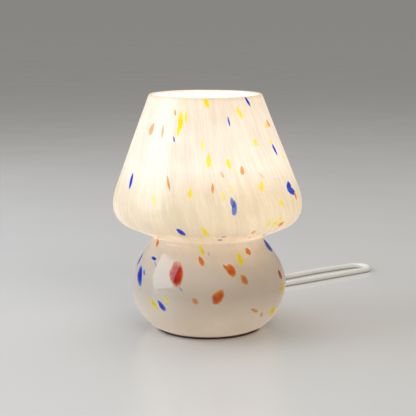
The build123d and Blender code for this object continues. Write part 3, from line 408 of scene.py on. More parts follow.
def blow_glass():
    """The wall, drawn ring by ring from the foot up the outside, over the rim and down the inside."""
    lean = math.radians(CUP_WALL_LEAN)
    rise = WALL / 2 * math.sin(lean)
    outside = wall_line(0, RIM_MIDDLE_Z + rise, FOOT_Z + OUTER_FOOT_RISE)
    inside = wall_line(WALL, RIM_MIDDLE_Z - rise, FOOT_Z + INNER_FOOT_RISE)
    rim_x = (outside[0][0] + inside[0][0]) / 2
    rim = arc((rim_x, RIM_MIDDLE_Z, WALL / 2), 0, CUP_WALL_LEAN, 180 + CUP_WALL_LEAN, RIM_STEP)[1:-1]
    foot = [(0.0506, 0.0023), (0.0494, 0.0020), (0.0472, 0.0020), (0.0450, 0.0020), (0.0437, 0.0023)]
    punt = [(0.0430, 0.0030), (0.0400, 0.0060), (0.0370, 0.0090), (0.0352, 0.0107), (0.0330, 0.0118)]
    hole = [(0.0300, 0.0120), (0.0200, 0.0120), (0.0110, 0.0120), (0.0065, 0.0120), (0.0065, 0.0155)]
    floor = [(0.0110, 0.0155), (0.0200, 0.0155), (0.0290, 0.0155), (0.0352, 0.0155), (0.0370, 0.0150)]
    moat = [(0.0386, 0.0138), (0.0420, 0.0104), (0.0450, 0.0074), (0.0462, 0.0062), (0.0480, 0.0055)]
    section = outside[::-1] + rim + inside + [(0.0515, 0.0056)] + moat[::-1] + floor[::-1] + hole[::-1]
    section += punt[::-1] + foot[::-1]
    return turn_up("opal_glass", section, RING_SIDES, lean_at)


def drill_cord_hole(glass):
    """The hole at the back of the base, slanting down through the wall."""
    turned = hole_direction.to_track_quat("Z", "Y").to_euler()
    bpy.ops.mesh.primitive_cylinder_add(vertices=48, radius=CORD_HOLE_RADIUS, depth=0.02, rotation=turned)
    drill = bpy.context.object
    drill.location = CORD_HOLE
    apply_modifier(glass, "BOOLEAN", operation="DIFFERENCE", object=drill, solver="EXACT")
    bpy.data.objects.remove(drill)


glass = blow_glass()
drill_cord_hole(glass)
waves = bpy.data.textures.new("glass_waves", "CLOUDS")
waves.noise_scale = 0.06
by_waves = {"texture": waves, "texture_coords": "GLOBAL", "strength": WAVE_HEIGHT}
apply_modifier(glass, "DISPLACE", **by_waves, mid_level=0.5)
select_only(glass)
bpy.ops.object.shade_smooth_by_angle(angle=math.radians(50))

# the light that comes through the wall, by the share of the lamp's height; its rise towards the foot is
# painted light bounced up from the table
GLOW_BY_HEIGHT = (
    (0.00, (0.290, 0.228, 0.172)),
    (0.09, (0.212, 0.158, 0.110)),
    (0.20, (0.040, 0.015, 0.000)),
    (0.31, (0.112, 0.076, 0.052)),
    (0.36, (0.206, 0.145, 0.094)),
    (0.395, (0.376, 0.274, 0.185)),
    (0.43, (0.372, 0.268, 0.160)),
    (0.53, (0.405, 0.302, 0.160)),
    (0.62, (0.438, 0.338, 0.196)),
    (0.72, (0.600, 0.508, 0.410)),
    (0.88, (0.585, 0.488, 0.390)),
    (0.985, (0.540, 0.440, 0.315)),
    (1.00, (0.400, 0.270, 0.160)),
)
LAMP_HEIGHT = 0.225
# the middle and the colour of a patch of painted light on the cup's right front
RIGHT_GLOW_PATCH_MIDDLE = (0.055, -0.065, 0.136)
RIGHT_GLOW_PATCH_LIGHT = (0.105, 0.085, 0.065)
BULB_LIGHT_INSIDE = (0.08, 0.17, 0.28)


def vector_maths(tree, operation, *values):
    """The result of a sum on vectors."""
    node = put(tree, "ShaderNodeVectorMath", *enumerate(values), operation=operation)
    return node.outputs["Value" if operation in ("DISTANCE", "DOT_PRODUCT") else "Vector"]


def scaled(tree, vector, factor):
    """A vector or a colour times a factor."""
    return put(tree, "ShaderNodeVectorMath", (0, vector), ("Scale", factor), operation="SCALE").outputs[0]


def away_from_axis(tree, place):
    """The level direction from the lamp's axis to a place."""
    return vector_maths(tree, "NORMALIZE", vector_maths(tree, "MULTIPLY", place, (1, 1, 0)))


def opal_light_group():
    """What the opal glass shows at each place: its own colour, the light that comes through, its ripples.

    The light is strongest round the bulb, pours down through the neck and fades in the base, and painted
    light from the table's bounce rises again towards the foot. Fine streaks run down the wall where the glass
    was drawn out."""
    group = bpy.data.node_groups.new("opal_light", "ShaderNodeTree")
    for name, kind in (("Body", "Color"), ("Glow", "Color"), ("Normal", "Vector"), ("Roughness", "Float")):
        group.interface.new_socket(name, in_out="OUTPUT", socket_type=f"NodeSocket{kind}")
    coordinates = put(group, "ShaderNodeTexCoord").outputs
    place = coordinates["Object"]
    sideways, _, height = put(group, "ShaderNodeSeparateXYZ", (0, place)).outputs

    # the streaks: a noise on the direction from the axis, stretched along the height and slanting a little
    slant = ("Axis", (0, 0, 1)), ("Angle", maths(group, "MULTIPLY", height, 2.4))
    turned = put(group, "ShaderNodeVectorRotate", ("Vector", place), *slant, rotation_type="AXIS_ANGLE")
    up = put(group, "ShaderNodeCombineXYZ", ("Z", maths(group, "MULTIPLY", height, 1.5)))
    drawn = vector_maths(group, "ADD", away_from_axis(group, turned.outputs[0]), up.outputs[0])
    bands = remap(group, noise(group, drawn, 9, 2), (0.35, 0.65), (0.0, 0.45))
    wisps = remap(group, noise(group, drawn, 30, 4, 0.66), (0.44, 0.66), (0.0, 0.7))
    clouds = noise(group, place, 26, 3)

    # only the cup was drawn out far enough to streak, and the base is milky
    cup = remap(group, height, (0.070, 0.110), (0.12, 1.0))
    veins = maths(group, "MULTIPLY", maths(group, "ADD", bands, wisps), cup)
    milk = remap(group, clouds, (0.35, 0.65), (0.0, 0.6))
    body = blend(group, maths(group, "ADD", veins, milk), (0.495, 0.425, 0.340), (0.535, 0.485, 0.420))

    glow = put(group, "ShaderNodeValToRGB", ("Fac", remap(group, height, (0.0, LAMP_HEIGHT))))
    ramp = glow.color_ramp
    while len(ramp.elements) < len(GLOW_BY_HEIGHT):
        ramp.elements.new(0.5)
    for element, (position, colour) in zip(ramp.elements, GLOW_BY_HEIGHT):
        element.position = position
        element.color = (*colour, 1)
    uneven = remap(group, clouds, (0.3, 0.7), (0.92, 1.06))
    level = maths(group, "MULTIPLY", uneven, remap(group, veins, wanted=(0.94, 1.13)))
    # a patch of painted light on the right front of the cup, where it looks brighter
    away = vector_maths(group, "DISTANCE", place, RIGHT_GLOW_PATCH_MIDDLE)
    extra = scaled(group, RIGHT_GLOW_PATCH_LIGHT, remap(group, away, (0.082, 0.026)))
    shining = scaled(group, vector_maths(group, "ADD", glow.outputs["Color"], extra), level)

    # the bulb shines straight on the inner face, which is the one that faces the axis
    facing = vector_maths(group, "DOT_PRODUCT", coordinates["Normal"], away_from_axis(group, place))
    inner = remap(group, facing, (-0.30, -0.92))
    bathed = maths(group, "MULTIPLY", inner, remap(group, height, (0.080, 0.110), (0.3, 1.0)))
    # less so on the right, next to the rim
    off_side = remap(group, sideways, (0.036, 0.050), (1.0, 0.0))
    near_rim = remap(group, height, (0.200, 0.212))
    shade = put(group, "ShaderNodeMix", (0, near_rim), (2, 1.0), (3, off_side)).outputs[0]
    white = scaled(group, BULB_LIGHT_INSIDE, maths(group, "MULTIPLY", bathed, shade))

    # the base is as smooth as the mould left it, and the cup is faintly rippled
    put(
        group,
        "NodeGroupOutput",
        ("Body", body),
        ("Glow", vector_maths(group, "ADD", shining, white)),
        ("Normal", bumped(group, noise(group, place, 30, 1), 0.3, 0.0006)),
        ("Roughness", remap(group, height, (0.080, 0.120), (0.075, 0.22))),
    )
    return group


opal_light = opal_light_group()


def opal_material():
    """Polished opal glass, lit from inside."""
    material, tree, shader = new_material("opal_glass", (0.52, 0.46, 0.4), 0.09, IOR=1.5)
    shader.inputs["Emission Strength"].default_value = 1.0
    opal = put(tree, "ShaderNodeGroup", node_tree=opal_light).outputs
    feed(shader, Base_Color=opal["Body"], Roughness=opal["Roughness"], Normal=opal["Normal"])
    feed(shader, Emission_Color=opal["Glow"])
    return material


glass.data.materials.append(opal_material())
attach(glass, "lamp")
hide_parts("glass_body")


# ==================== Coloured flecks
# Chips of yellow, orange, red and blue glass that the hot gather was rolled in. They melted flush into
# the surface and were drawn out with it, long on the cup and shorter on the base, with soft edges.
#
# The front flecks are placed as the photograph shows them: column and row of the middle, length and width,
# in its pixels, then how far the narrow end leans to the right in degrees, and the strength of the colour.
FRONT_FLECKS = {
    "yellow": (
        (180.6, 121.0, 20, 6.0, 3, 1.0), (178.4, 130.6, 13, 3.6, 10, 1.0), (186.0, 117.0, 13, 3.0, 3, 0.9),
        (184.3, 103.0, 13, 1.8, -2, 0.5), (206.4, 102.7, 12, 5.4, -18, 1.0),
        (239.4, 112.7, 15, 4.6, -25, 0.92), (202.2, 145.0, 13, 2.8, -5, 0.8), (208.6, 160.9, 15, 5.8, 0, 0.9),
        (228.6, 163.8, 12, 5.2, -20, 0.9), (261.4, 186.7, 11, 5.2, 0, 0.9), (255.4, 142.3, 10, 3.8, -20, 0.9),
        (270.4, 141.4, 6, 2.2, -25, 0.9), (266.3, 125.1, 8, 2.8, -20, 0.9), (283.5, 156.6, 7, 2.4, -30, 0.8),
        (154.0, 200.8, 15, 3.4, -10, 0.7), (190.0, 193.3, 13, 4.6, 5, 0.9), (231.2, 188.4, 9, 3.8, -10, 0.4),
        (223.4, 196.5, 9, 3.8, -5, 0.6), (281.2, 202.5, 8, 3.8, -15, 0.9), (269.0, 223.4, 8, 3.2, 20, 0.8),
        (275.2, 223.7, 8, 3.4, 30, 0.9), (279.9, 219.1, 7, 2.8, 25, 0.9), (204.6, 232.2, 12, 5.0, -45, 1.0),
        (260.6, 237.7, 8, 2.8, 0, 0.9), (201.5, 249.5, 13, 4.4, -22, 1.0), (239.8, 259.0, 16, 6.4, -18, 1.0),
        (153.9, 303.8, 15, 4.4, -33, 1.0), (165.9, 300.3, 11, 4.8, -15, 0.7),
        (272.6, 311.2, 11, 6.5, 35, 1.0), (282.2, 286.5, 16, 6.0, 10, 1.0),
    ),
    "orange": (
        (175.2, 112.4, 7, 2.4, -5, 0.9), (151.6, 129.2, 14, 5.0, 20, 0.8), (162.7, 131.3, 15, 2.8, 8, 0.8),
        (242.2, 170.5, 10, 4.6, -10, 0.9), (222.2, 174.7, 8, 3.2, -25, 0.6), (261.3, 175.5, 8, 2.6, -35, 0.5),
        (268.2, 123.4, 9, 3.0, -25, 0.8), (168.5, 183.6, 17, 3.0, -10, 0.9), (212.7, 188.4, 11, 3.2, 0, 0.9),
        (295.5, 195.7, 9, 2.2, -15, 1.0), (281.1, 224.0, 8, 3.2, 55, 1.0), (253.2, 232.2, 6, 2.8, 60, 0.8),
        (249.7, 237.0, 5, 2.2, 30, 0.8), (223.6, 236.8, 6, 1.8, 80, 0.8), (157.8, 242.1, 12, 3.2, 8, 1.0),
        (201.2, 261.2, 12, 5.6, -25, 1.0), (248.0, 251.6, 9, 5.0, -30, 1.0),
        (231.2, 270.6, 15, 9.4, 152, 1.0), (225.6, 267.6, 9, 3.6, -42, 1.0),
        (244.2, 279.8, 12, 6.8, -25, 0.9), (195.2, 301.2, 8, 5.6, -40, 0.8),
        (218.0, 297.4, 17, 12.0, 35, 1.0), (254.6, 310.6, 8, 4.2, -65, 0.8), (261.4, 314.6, 5, 3.0, 20, 0.8),
    ),
    "red": (
        (176.3, 274.2, 27, 15.6, 2, 1.0), (280.0, 274.5, 12, 3.4, -20, 1.0),
    ),
    "blue": (
        (174.0, 139.2, 7, 2.0, -10, 0.9), (247.5, 101.5, 13, 2.8, -30, 1.0),
        (228.7, 121.3, 11, 2.4, -12, 0.9), (274.4, 149.2, 15, 2.4, -25, 1.0),
        (131.3, 180.7, 19, 3.2, 12, 1.0), (232.6, 202.8, 12, 5.2, -14, 0.82),
        (234.4, 208.4, 17, 5.8, 4, 0.82), (288.9, 186.6, 13, 6.0, -12, 1.0),
        (291.6, 191.0, 11, 6.2, -38, 1.0), (180.8, 232.3, 12, 5.0, -55, 1.0), (220.0, 240.0, 6, 2.8, 90, 0.9),
        (268.0, 245.4, 18, 6.5, -35, 1.0), (208.6, 253.8, 5, 2.0, -10, 0.4), (180.5, 289.1, 7, 3.0, -40, 0.5),
        (139.8, 275.7, 24, 6.2, 5, 1.0), (144.2, 272.4, 7, 2.4, 0, 0.8), (140.3, 258.7, 17, 2.4, 25, 0.9),
        (153.9, 258.5, 6, 4.0, -60, 1.0), (155.4, 264.0, 8, 2.0, -15, 0.5), (161.6, 305.8, 15, 5.0, -35, 1.0),
    ),
}
FLECK_LIFT = 0.0001
# a chip's clear edge fades out, so that it is cut larger than it looks
FLECK_SPREAD = 1.26
FLATTEST_VIEW = -0.34
CHIP_HEIGHT = 0.001
GLASS_BEFORE_AXIS = 0.07
CHIP_SIDES = 24
CHIP_RINGS = 4
CHIP_WOBBLE = 0.30
CHIP_SMOOTHING = 6
# how many times its width a chip is long, from which on it is cut as a thread or a drop
THREAD_FROM = 3.6
DROP_FROM = 1.8
# how much each cut narrows towards its bottom and its top
FLECK_CUTS = {"thread": (0.30, 0.40), "drop": (0.0, 0.50), "chip": (0.0, 0.04)}
# where the colour is thickest, where it is thinner, and towards its edge, then what it lets through
FLECK_SHADES = {
    "yellow": ((0.52, 0.38, 0.004), (0.60, 0.48, 0.004), (0.68, 0.58, 0.03), (1.00, 0.95, 0.03)),
    "orange": ((0.44, 0.046, 0.004), (0.52, 0.110, 0.008), (0.55, 0.26, 0.04), (0.90, 0.44, 0.09)),
    "red": ((0.30, 0.008, 0.004), (0.40, 0.020, 0.006), (0.50, 0.14, 0.02), (0.70, 0.08, 0.03)),
    "blue": ((0.008, 0.003, 0.24), (0.010, 0.010, 0.44), (0.05, 0.27, 0.74), (0.015, 0.05, 0.90)),
}


def cut_fleck(name, narrowing, seed):
    """A flat chip two units long: rings of points, pulled about a little and narrower at its ends.

    How far a point lies inside the edge is kept with it, for the soft edge."""
    bpy.ops.mesh.primitive_circle_add(vertices=CHIP_SIDES, radius=1, fill_type="NGON")
    chip = bpy.context.object
    chip.name = name
    bpy.ops.object.mode_set(mode="EDIT")
    bpy.ops.mesh.select_all(action="SELECT")
    for _ in range(CHIP_RINGS):
        bpy.ops.mesh.inset(thickness=1 / (CHIP_RINGS + 1))
    bpy.ops.mesh.poke()
    bpy.ops.object.mode_set(mode="OBJECT")
    depth = chip.data.attributes.new("depth", "FLOAT", "POINT")
    for vertex, value in zip(chip.data.vertices, depth.data):
        value.value = 1 - vertex.co.length
    bottom, top = narrowing
    taper = {"deform_method": "TAPER", "deform_axis": "Y"}
    apply_modifier(chip, "SIMPLE_DEFORM", **taper, factor=bottom, limits=(0, 0.5))
    apply_modifier(chip, "SIMPLE_DEFORM", **taper, factor=-top, limits=(0.5, 1))
    select_only(chip)
    bpy.ops.object.mode_set(mode="EDIT")
    bpy.ops.mesh.select_all(action="SELECT")
    bpy.ops.transform.vertex_random(offset=CHIP_WOBBLE, seed=seed)
    bpy.ops.mesh.vertices_smooth(factor=0.5, repeat=CHIP_SMOOTHING)
    bpy.ops.object.mode_set(mode="OBJECT")
    return chip


def lay_fleck(mesh, length, width, lean, strength, start, ray, right, up):
    """Lays a chip where a ray meets the glass, as long and wide as it looks along that ray."""
    _, place, normal, _ = glass.ray_cast(start, ray)
    facing = min(ray.dot(normal), FLATTEST_VIEW)
    along = right * math.sin(lean) + up * math.cos(lean)
    across = right * math.cos(lean) - up * math.sin(lean)
    along = (along - ray * (along.dot(normal) / facing)) * length * FLECK_SPREAD / 2
    across = (across - ray * (across.dot(normal) / facing)) * width * FLECK_SPREAD / 2
    spot = Matrix((across, along, normal * CHIP_HEIGHT)).transposed().to_4x4()
    spot.translation = place
    mesh.transform(spot)
    mesh.attributes.new("strength", "FLOAT", "POINT")
    for value in mesh.attributes["strength"].data:
        value.value = strength
    chip = bpy.data.objects.new("fleck", mesh)
    bpy.context.scene.collection.objects.link(chip)
    return chip


def pick_cut(cuts, length, width, seen):
    """A copy of one of the cuts that suit a chip's length and width."""
    slim = length / width
    kind = "thread" if slim > THREAD_FROM else "drop" if slim > DROP_FROM else "chip"
    return seen.choice(cuts[kind]).data.copy()


def front_chips(colour, cuts, seen):
    """The flecks that the photograph shows, each where its own ray meets the glass."""
    turn = camera.matrix_world.to_3x3()
    right, up = turn @ Vector((1, 0, 0)), turn @ Vector((0, 1, 0))
    middle = PHOTO_WIDTH / 2
    pixel = (EYE.length - GLASS_BEFORE_AXIS) / LENS_IN_PIXELS
    chips = []
    for column, row, length, width, lean, strength in FRONT_FLECKS[colour]:
        ahead = Vector(((column - middle) / LENS_IN_PIXELS, (middle - row) / LENS_IN_PIXELS, -1))
        ray = (turn @ ahead).normalized()
        mesh = pick_cut(cuts, length, width, seen)
        lean = math.radians(lean)
        size = length * pixel, width * pixel
        chips.append(lay_fleck(mesh, *size, lean, strength, EYE, ray, right, up))
    return chips


BACK_TURNS = (4, 176)
CUP_SHARE = 0.64
WELL_OUTSIDE = 0.3
# from the least to the greatest: height, length, width to a length, and lean
BACK_FLECKS = {
    "cup": ((0.098, 0.216), (0.006, 0.019), (0.22, 0.42), (-30, 12)),
    "base": ((0.014, 0.086), (0.005, 0.015), (0.3, 0.62), (-60, 45)),
}


def back_chips(count, cuts, seen):
    """More flecks of a colour round the sides and the back, as dense as on the front."""
    up = Vector((0, 0, 1))
    first, last = BACK_TURNS
    chips = []
    for index in range(count):
        turn = math.radians(first + (last - first) * (index + seen.random()) / count)
        heights, lengths, slimness, leans = BACK_FLECKS["cup" if seen.random() < CUP_SHARE else "base"]
        height = seen.uniform(*heights)
        length = seen.uniform(*lengths)
        width = length * seen.uniform(*slimness)
        lean = math.radians(seen.uniform(*leans)) + seen.choice((0, math.pi))
        strength = seen.choice((1.0, 1.0, 0.9, 0.7))
        outward = Vector((math.cos(turn), math.sin(turn), 0))
        right = Vector((-math.sin(turn), math.cos(turn), 0))
        mesh = pick_cut(cuts, length, width, seen)
        start = outward * WELL_OUTSIDE + up * height
        chips.append(lay_fleck(mesh, length, width, lean, strength, start, -outward, right, up))
    return chips


def fleck_material(colour):
    """Coloured glass melted into the opal, thinner and paler to its edge, lit from behind as the opal is."""
    deep, body, thin, lets_through = FLECK_SHADES[colour]
    material, tree, shader = new_material(f"{colour}_fleck", body, 0.09, IOR=1.5)
    shader.inputs["Emission Strength"].default_value = 1.0
    opal = put(tree, "ShaderNodeGroup", node_tree=opal_light).outputs
    place = object_place(tree)
    depth, strength = (
        put(tree, "ShaderNodeAttribute", attribute_name=name).outputs["Fac"] for name in ("depth", "strength")
    )
    ragged = remap(tree, noise(tree, place, 300, 2), (0.3, 0.7), (-0.08, 0.08))
    frayed = maths(tree, "ADD", depth, ragged)
    soft_edge = (0, frayed), (1, 0.02), (2, 0.42)
    inside = put(tree, "ShaderNodeMapRange", *soft_edge, interpolation_type="SMOOTHSTEP").outputs[0]
    shown = maths(tree, "MULTIPLY", inside, remap(tree, depth, (0.0, 0.10)))
    shown = maths(tree, "MULTIPLY", shown, strength)

    # a fleck with less strength is thin all over
    full = remap(tree, strength, (0.70, 1.0), (0.2, 1.0))
    thick = maths(tree, "MULTIPLY", remap(tree, frayed, (0.15, 0.60)), full)
    core = maths(tree, "MULTIPLY", thick, remap(tree, noise(tree, place, 150, 2), (0.42, 0.62)))
    tint = blend(tree, core, blend(tree, thick, thin, body), deep)
    through = vector_maths(tree, "MULTIPLY", opal["Glow"], lets_through)
    feed(shader, Alpha=shown, Base_Color=tint, Emission_Color=through)
    feed(shader, Roughness=opal["Roughness"], Normal=opal["Normal"])
    return material


BACK_FLECK_COUNTS = {"yellow": 40, "orange": 34, "red": 6, "blue": 26}
fleck_cuts = {
    name: [cut_fleck(f"{name}_{seed}", narrowing, seed) for seed in range(1, 5)]
    for name, narrowing in FLECK_CUTS.items()
}
for number, (colour, back_count) in enumerate(BACK_FLECK_COUNTS.items()):
    seen = random.Random(number + 5)
    chips = front_chips(colour, fleck_cuts, seen) + back_chips(back_count, fleck_cuts, seen)
    select_only(*chips)
    bpy.ops.object.join()
    flecks = bpy.context.object
    flecks.name = f"{colour}_flecks"
    onto_glass = {"target": glass, "wrap_method": "NEAREST_SURFACEPOINT", "wrap_mode": "ABOVE_SURFACE"}
    apply_modifier(flecks, "SHRINKWRAP", **onto_glass, offset=FLECK_LIFT)
    flecks.data.shade_smooth()
    normals = {"use_loop_data": True, "data_types_loops": {"CUSTOM_NORMAL"}}
    apply_modifier(flecks, "DATA_TRANSFER", object=glass, **normals, loop_mapping="POLYINTERP_NEAREST")
    flecks.data.materials.append(fleck_material(colour))
    flecks.visible_shadow = False
    flecks.visible_diffuse = False
    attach(flecks, "lamp")
for cuts in fleck_cuts.values():
    for cut in cuts:
        bpy.data.objects.remove(cut)


# ==================== Foot pad
# A disc of dark closed-cell foam, glued under the glass so that it neither slides nor scratches.
def dress(material, *names):
    """Gives CAD nodes their finish."""
    for name in names:
        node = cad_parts[name]
        node.data.materials.clear()
        node.data.materials.append(material)


def grained(name, tones, roughness, grain, relief, stretch=(1, 1, 1), **sockets):
    """A material whose tint, gloss and surface drift with a noise in the object's own space.

    It has two tones, a least and a greatest roughness, grains to the metre and their height in metres."""
    middle = [sum(pair) / 2 for pair in zip(*tones)]
    material, tree, shader = new_material(name, middle, sum(roughness) / 2, **sockets)
    place = object_place(tree)
    fine = noise(tree, vector_maths(tree, "MULTIPLY", place, stretch), grain, 4)
    drift = remap(tree, noise(tree, place, grain / 10, 3), (0.35, 0.65))
    feed(
        shader,
        Base_Color=blend(tree, drift, *tones),
        Roughness=remap(tree, fine, (0.35, 0.65), roughness),
        Normal=bumped(tree, fine, 0.8, relief),
    )
    return material


foot_foam = grained("foot_foam", ((0.050, 0.026, 0.028), (0.095, 0.055, 0.055)), (0.75, 0.95), 900, 0.0002)
dress(foot_foam, "foot_pad")


# ==================== LED bulb
# An E14 globe bulb: opal plastic globe on a white trumpet, rolled nickel cap and dark glass insulator with
# a soldered tip. Inside are an aluminium board with its ring of LEDs and the driver.
NECK_HEIGHT = 0.016


def lit_globe_material():
    """Opal plastic lit from its board below: evenly white, a little dimmer round the neck."""
    material, tree, shader = new_material(
        "lit_globe", (0.86, 0.85, 0.82), 0.34, IOR=1.58, Emission_Strength=2.2
    )
    place = object_place(tree)
    height = put(tree, "ShaderNodeSeparateXYZ", (0, place)).outputs["Z"]
    low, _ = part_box("bulb_diffuser")
    up = remap(tree, height, (low[2], low[2] + NECK_HEIGHT))
    sand = noise(tree, place, 1500, 2)
    feed(
        shader,
        Emission_Color=blend(tree, up, (0.78, 0.56, 0.36), (1.0, 0.90, 0.74)),
        Roughness=remap(tree, sand, wanted=(0.28, 0.42)),
        Normal=bumped(tree, sand, 0.4, 0.00003),
    )
    return material


def circuit_material():
    """Green laminate with copper tracks under its lacquer."""
    material, tree, shader = new_material("green_circuit", (0.03, 0.16, 0.06), 0.3, IOR=1.5)
    place = object_place(tree)
    tracks = put(
        tree,
        "ShaderNodeTexBrick",
        ("Vector", place),
        ("Scale", 260.0),
        ("Mortar Size", 0.06),
        ("Color1", (0.02, 0.13, 0.05, 1)),
        ("Color2", (0.03, 0.18, 0.07, 1)),
        ("Mortar", (0.10, 0.26, 0.08, 1)),
    ).outputs
    feed(
        shader,
        Base_Color=tracks["Color"],
        Roughness=remap(tree, noise(tree, place, 900, 2), wanted=(0.22, 0.40)),
        Normal=bumped(tree, tracks["Fac"], 0.6, 0.00005),
    )
    return material


satin_white = grained("satin_white", ((0.79, 0.79, 0.775), (0.82, 0.82, 0.805)), (0.34, 0.46), 1400, 0.00002)
nickel_tones = (0.58, 0.56, 0.52), (0.72, 0.70, 0.66)
nickel = grained("bright_nickel", nickel_tones, (0.14, 0.27), 200, 0.000004, (1, 1, 9), Metallic=1.0)
vitrite_tones = (0.010, 0.009, 0.012), (0.032, 0.028, 0.034)
vitrite = grained("black_glass", vitrite_tones, (0.06, 0.16), 240, 0.00005)
solder_tones = (0.50, 0.51, 0.52), (0.68, 0.68, 0.66)
solder = grained("solder", solder_tones, (0.28, 0.48), 420, 0.00012, Metallic=1.0)
white_board = grained("white_board", ((0.74, 0.75, 0.75), (0.82, 0.82, 0.81)), (0.30, 0.44), 700, 0.00002)
phosphor_tones = (0.78, 0.58, 0.10), (0.88, 0.72, 0.20)
phosphor_light = {"Emission_Color": (1.0, 0.80, 0.42, 1), "Emission_Strength": 6.0}
phosphor = grained("phosphor", phosphor_tones, (0.40, 0.60), 2200, 0.00004, **phosphor_light)
dress(lit_globe_material(), "bulb_diffuser")
dress(satin_white, "bulb_housing")
dress(nickel, "bulb_cap")
dress(vitrite, "bulb_insulator")
dress(solder, "bulb_tip")
dress(white_board, "led_board")
dress(phosphor, "led_chips")
dress(circuit_material(), "bulb_driver")


# ==================== Lampholder
# An E14 holder of white moulded plastic on a short nickel-plated stem, with a ceramic core that carries the
# brass screw shell, the centre contact and the two clamp terminals.
holder_tones = (0.77, 0.76, 0.73), (0.81, 0.80, 0.77)
holder_plastic = grained("holder_plastic", holder_tones, (0.28, 0.42), 800, 0.00002)
ceramic = grained("steatite", ((0.66, 0.63, 0.56), (0.78, 0.76, 0.70)), (0.45, 0.62), 520, 0.00006)
brass_tones = (0.60, 0.40, 0.14), (0.74, 0.54, 0.24)
brass = grained("brass", brass_tones, (0.18, 0.27), 200, 0.000006, (1, 1, 8), Metallic=1.0)
dress(holder_plastic, "holder_cap", "holder_barrel")
dress(ceramic, "holder_insert")
dress(brass, "screw_shell", "centre_contact", "terminals", "terminal_screws")
dress(nickel, "stem")


# ==================== Fixing
# Two zinc-plated plates with rubber washers clamp the raised bottom of the glass between them, on an M10
# tube with a nut and a spring washer. A second short tube carries the lampholder.
zinc_tones = (0.50, 0.53, 0.56), (0.68, 0.69, 0.70)
zinc = grained("zinc_plate", zinc_tones, (0.28, 0.44), 180, 0.00002, Metallic=1.0)
rubber_tones = (0.016, 0.016, 0.016), (0.042, 0.042, 0.040)
rubber = grained("black_rubber", rubber_tones, (0.55, 0.78), 1100, 0.00005)
dress(zinc, "lower_plate", "upper_plate", "threaded_tube", "upper_nipple", "lock_nut_lower", "lock_nut_upper")
dress(zinc, "spring_washer", "clamp_screws")
dress(rubber, "rubber_washer_lower", "rubber_washer_upper")


# ==================== Cord inside the base
# The flex runs through a soft bush in the glass, whose ribbed sleeve keeps it from kinking outside, then
# through a two-part clamp and into the stem, where its brown and blue cores part to the terminals.
CORD_EXIT_LENGTH = 0.016
GROMMET_BORE = 0.0030
GROMMET_RIBS = 6
CORE_DIAMETER = 0.0023
CLAMP_Z = 0.0305
CORD_INSIDE = ((0, 0.080571, 0.009025), CORD_HOLE, (0, 0.0462, CLAMP_Z), (0, 0.0050, CLAMP_Z))
CORES_APART = 0.0025
PARTING_Z = 0.0447
TERMINALS_APART = 0.009
TERMINAL_Z = 0.050
TERMINAL_LEAD = 0.003


def grommet_section():
    """The bush's section along the cord: barb inside, flange on the glass, then the ribbed taper."""
    section = [(0.0048, -0.0080), (0.0056, -0.0066), (0.0065, -0.0042), (0.0064, -0.0040), (0.0048, -0.0039)]
    section += [(0.0048, -0.0001), (0.0071, 0.0), (0.0074, 0.0002), (0.0075, 0.0006), (0.0074, 0.0012)]
    section += [(0.0070, 0.0015), (0.0060, 0.0018), (0.0055, 0.0024)]
    pitch = (CORD_EXIT_LENGTH - 0.0034) / GROMMET_RIBS
    for rib in range(GROMMET_RIBS):
        start = 0.0029 + rib * pitch
        crest = 0.0054 - 0.0014 * rib / GROMMET_RIBS
        groove = crest - 0.0007
        for radius, share in ((groove, 0.0), (groove, 0.26), (crest, 0.34), (crest, 0.92), (groove, 1.0)):
            section.append((radius, start + share * pitch))
    section += [(0.0037, CORD_EXIT_LENGTH - 0.0003), (0.0034, CORD_EXIT_LENGTH)]
    return section + [(GROMMET_BORE, CORD_EXIT_LENGTH), (GROMMET_BORE, 0.004), (GROMMET_BORE, -0.008)]


def draw_core(name, side, material):
    """One core as a smooth line from the cord's end up to its terminal."""
    near, far = side * CORES_APART / 2, side * TERMINALS_APART / 2
    inside = (near, 0.005, CLAMP_Z), (near, 0, CLAMP_Z), (near, 0, PARTING_Z)
    core = lay_flex(f"{name}_strand", (*inside, (far, 0, TERMINAL_Z - TERMINAL_LEAD), (far, 0, TERMINAL_Z)))
    core.data.bevel_depth = CORE_DIAMETER / 2
    core.data.materials.append(material)
    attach(core, "lamp")
    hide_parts(name)


soft_pvc = grained("soft_pvc", ((0.77, 0.76, 0.73), (0.81, 0.80, 0.775)), (0.38, 0.52), 900, 0.00002)
brown_pvc = grained("brown_pvc", ((0.14, 0.050, 0.020), (0.22, 0.085, 0.036)), (0.32, 0.46), 700, 0.00003)
blue_pvc = grained("blue_pvc", ((0.015, 0.085, 0.32), (0.030, 0.135, 0.46)), (0.32, 0.46), 700, 0.00003)

grommet = turn_up("ribbed_grommet", grommet_section(), 48)
grommet.rotation_euler = hole_direction.to_track_quat("Z", "Y").to_euler()
grommet.location = CORD_HOLE
set_in_place(grommet)
bpy.ops.object.shade_smooth_by_angle(angle=math.radians(35))
grommet.data.materials.append(soft_pvc)
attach(grommet, "lamp")
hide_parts("cord_grommet")

flex_inside = lay_flex("flex_inside", CORD_INSIDE)
flex_inside.data.materials.append(white_sheath)
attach(flex_inside, "lamp")
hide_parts("cord_inside")
draw_core("core_live", 1, brown_pvc)
draw_core("core_neutral", -1, blue_pvc)
dress(satin_white, "cord_clamp_block", "cord_clamp_bar")


# ==================== In-line switch
# A small rocker switch of white moulded plastic in two halves, screwed together from below, with brass
# contacts inside. The rocker is glossier than the fine-grained shell.
switch_shell = grained("switch_shell", ((0.80, 0.80, 0.785), (0.83, 0.83, 0.82)), (0.40, 0.54), 2400, 0.00002)
rocker_gloss = grained("rocker_gloss", ((0.81, 0.81, 0.80), (0.84, 0.84, 0.83)), (0.18, 0.26), 300, 0.000001)
dress(switch_shell, "switch_base", "switch_cover")
dress(rocker_gloss, "switch_rocker")
dress(brass, "switch_contacts")
dress(zinc, "switch_screws")


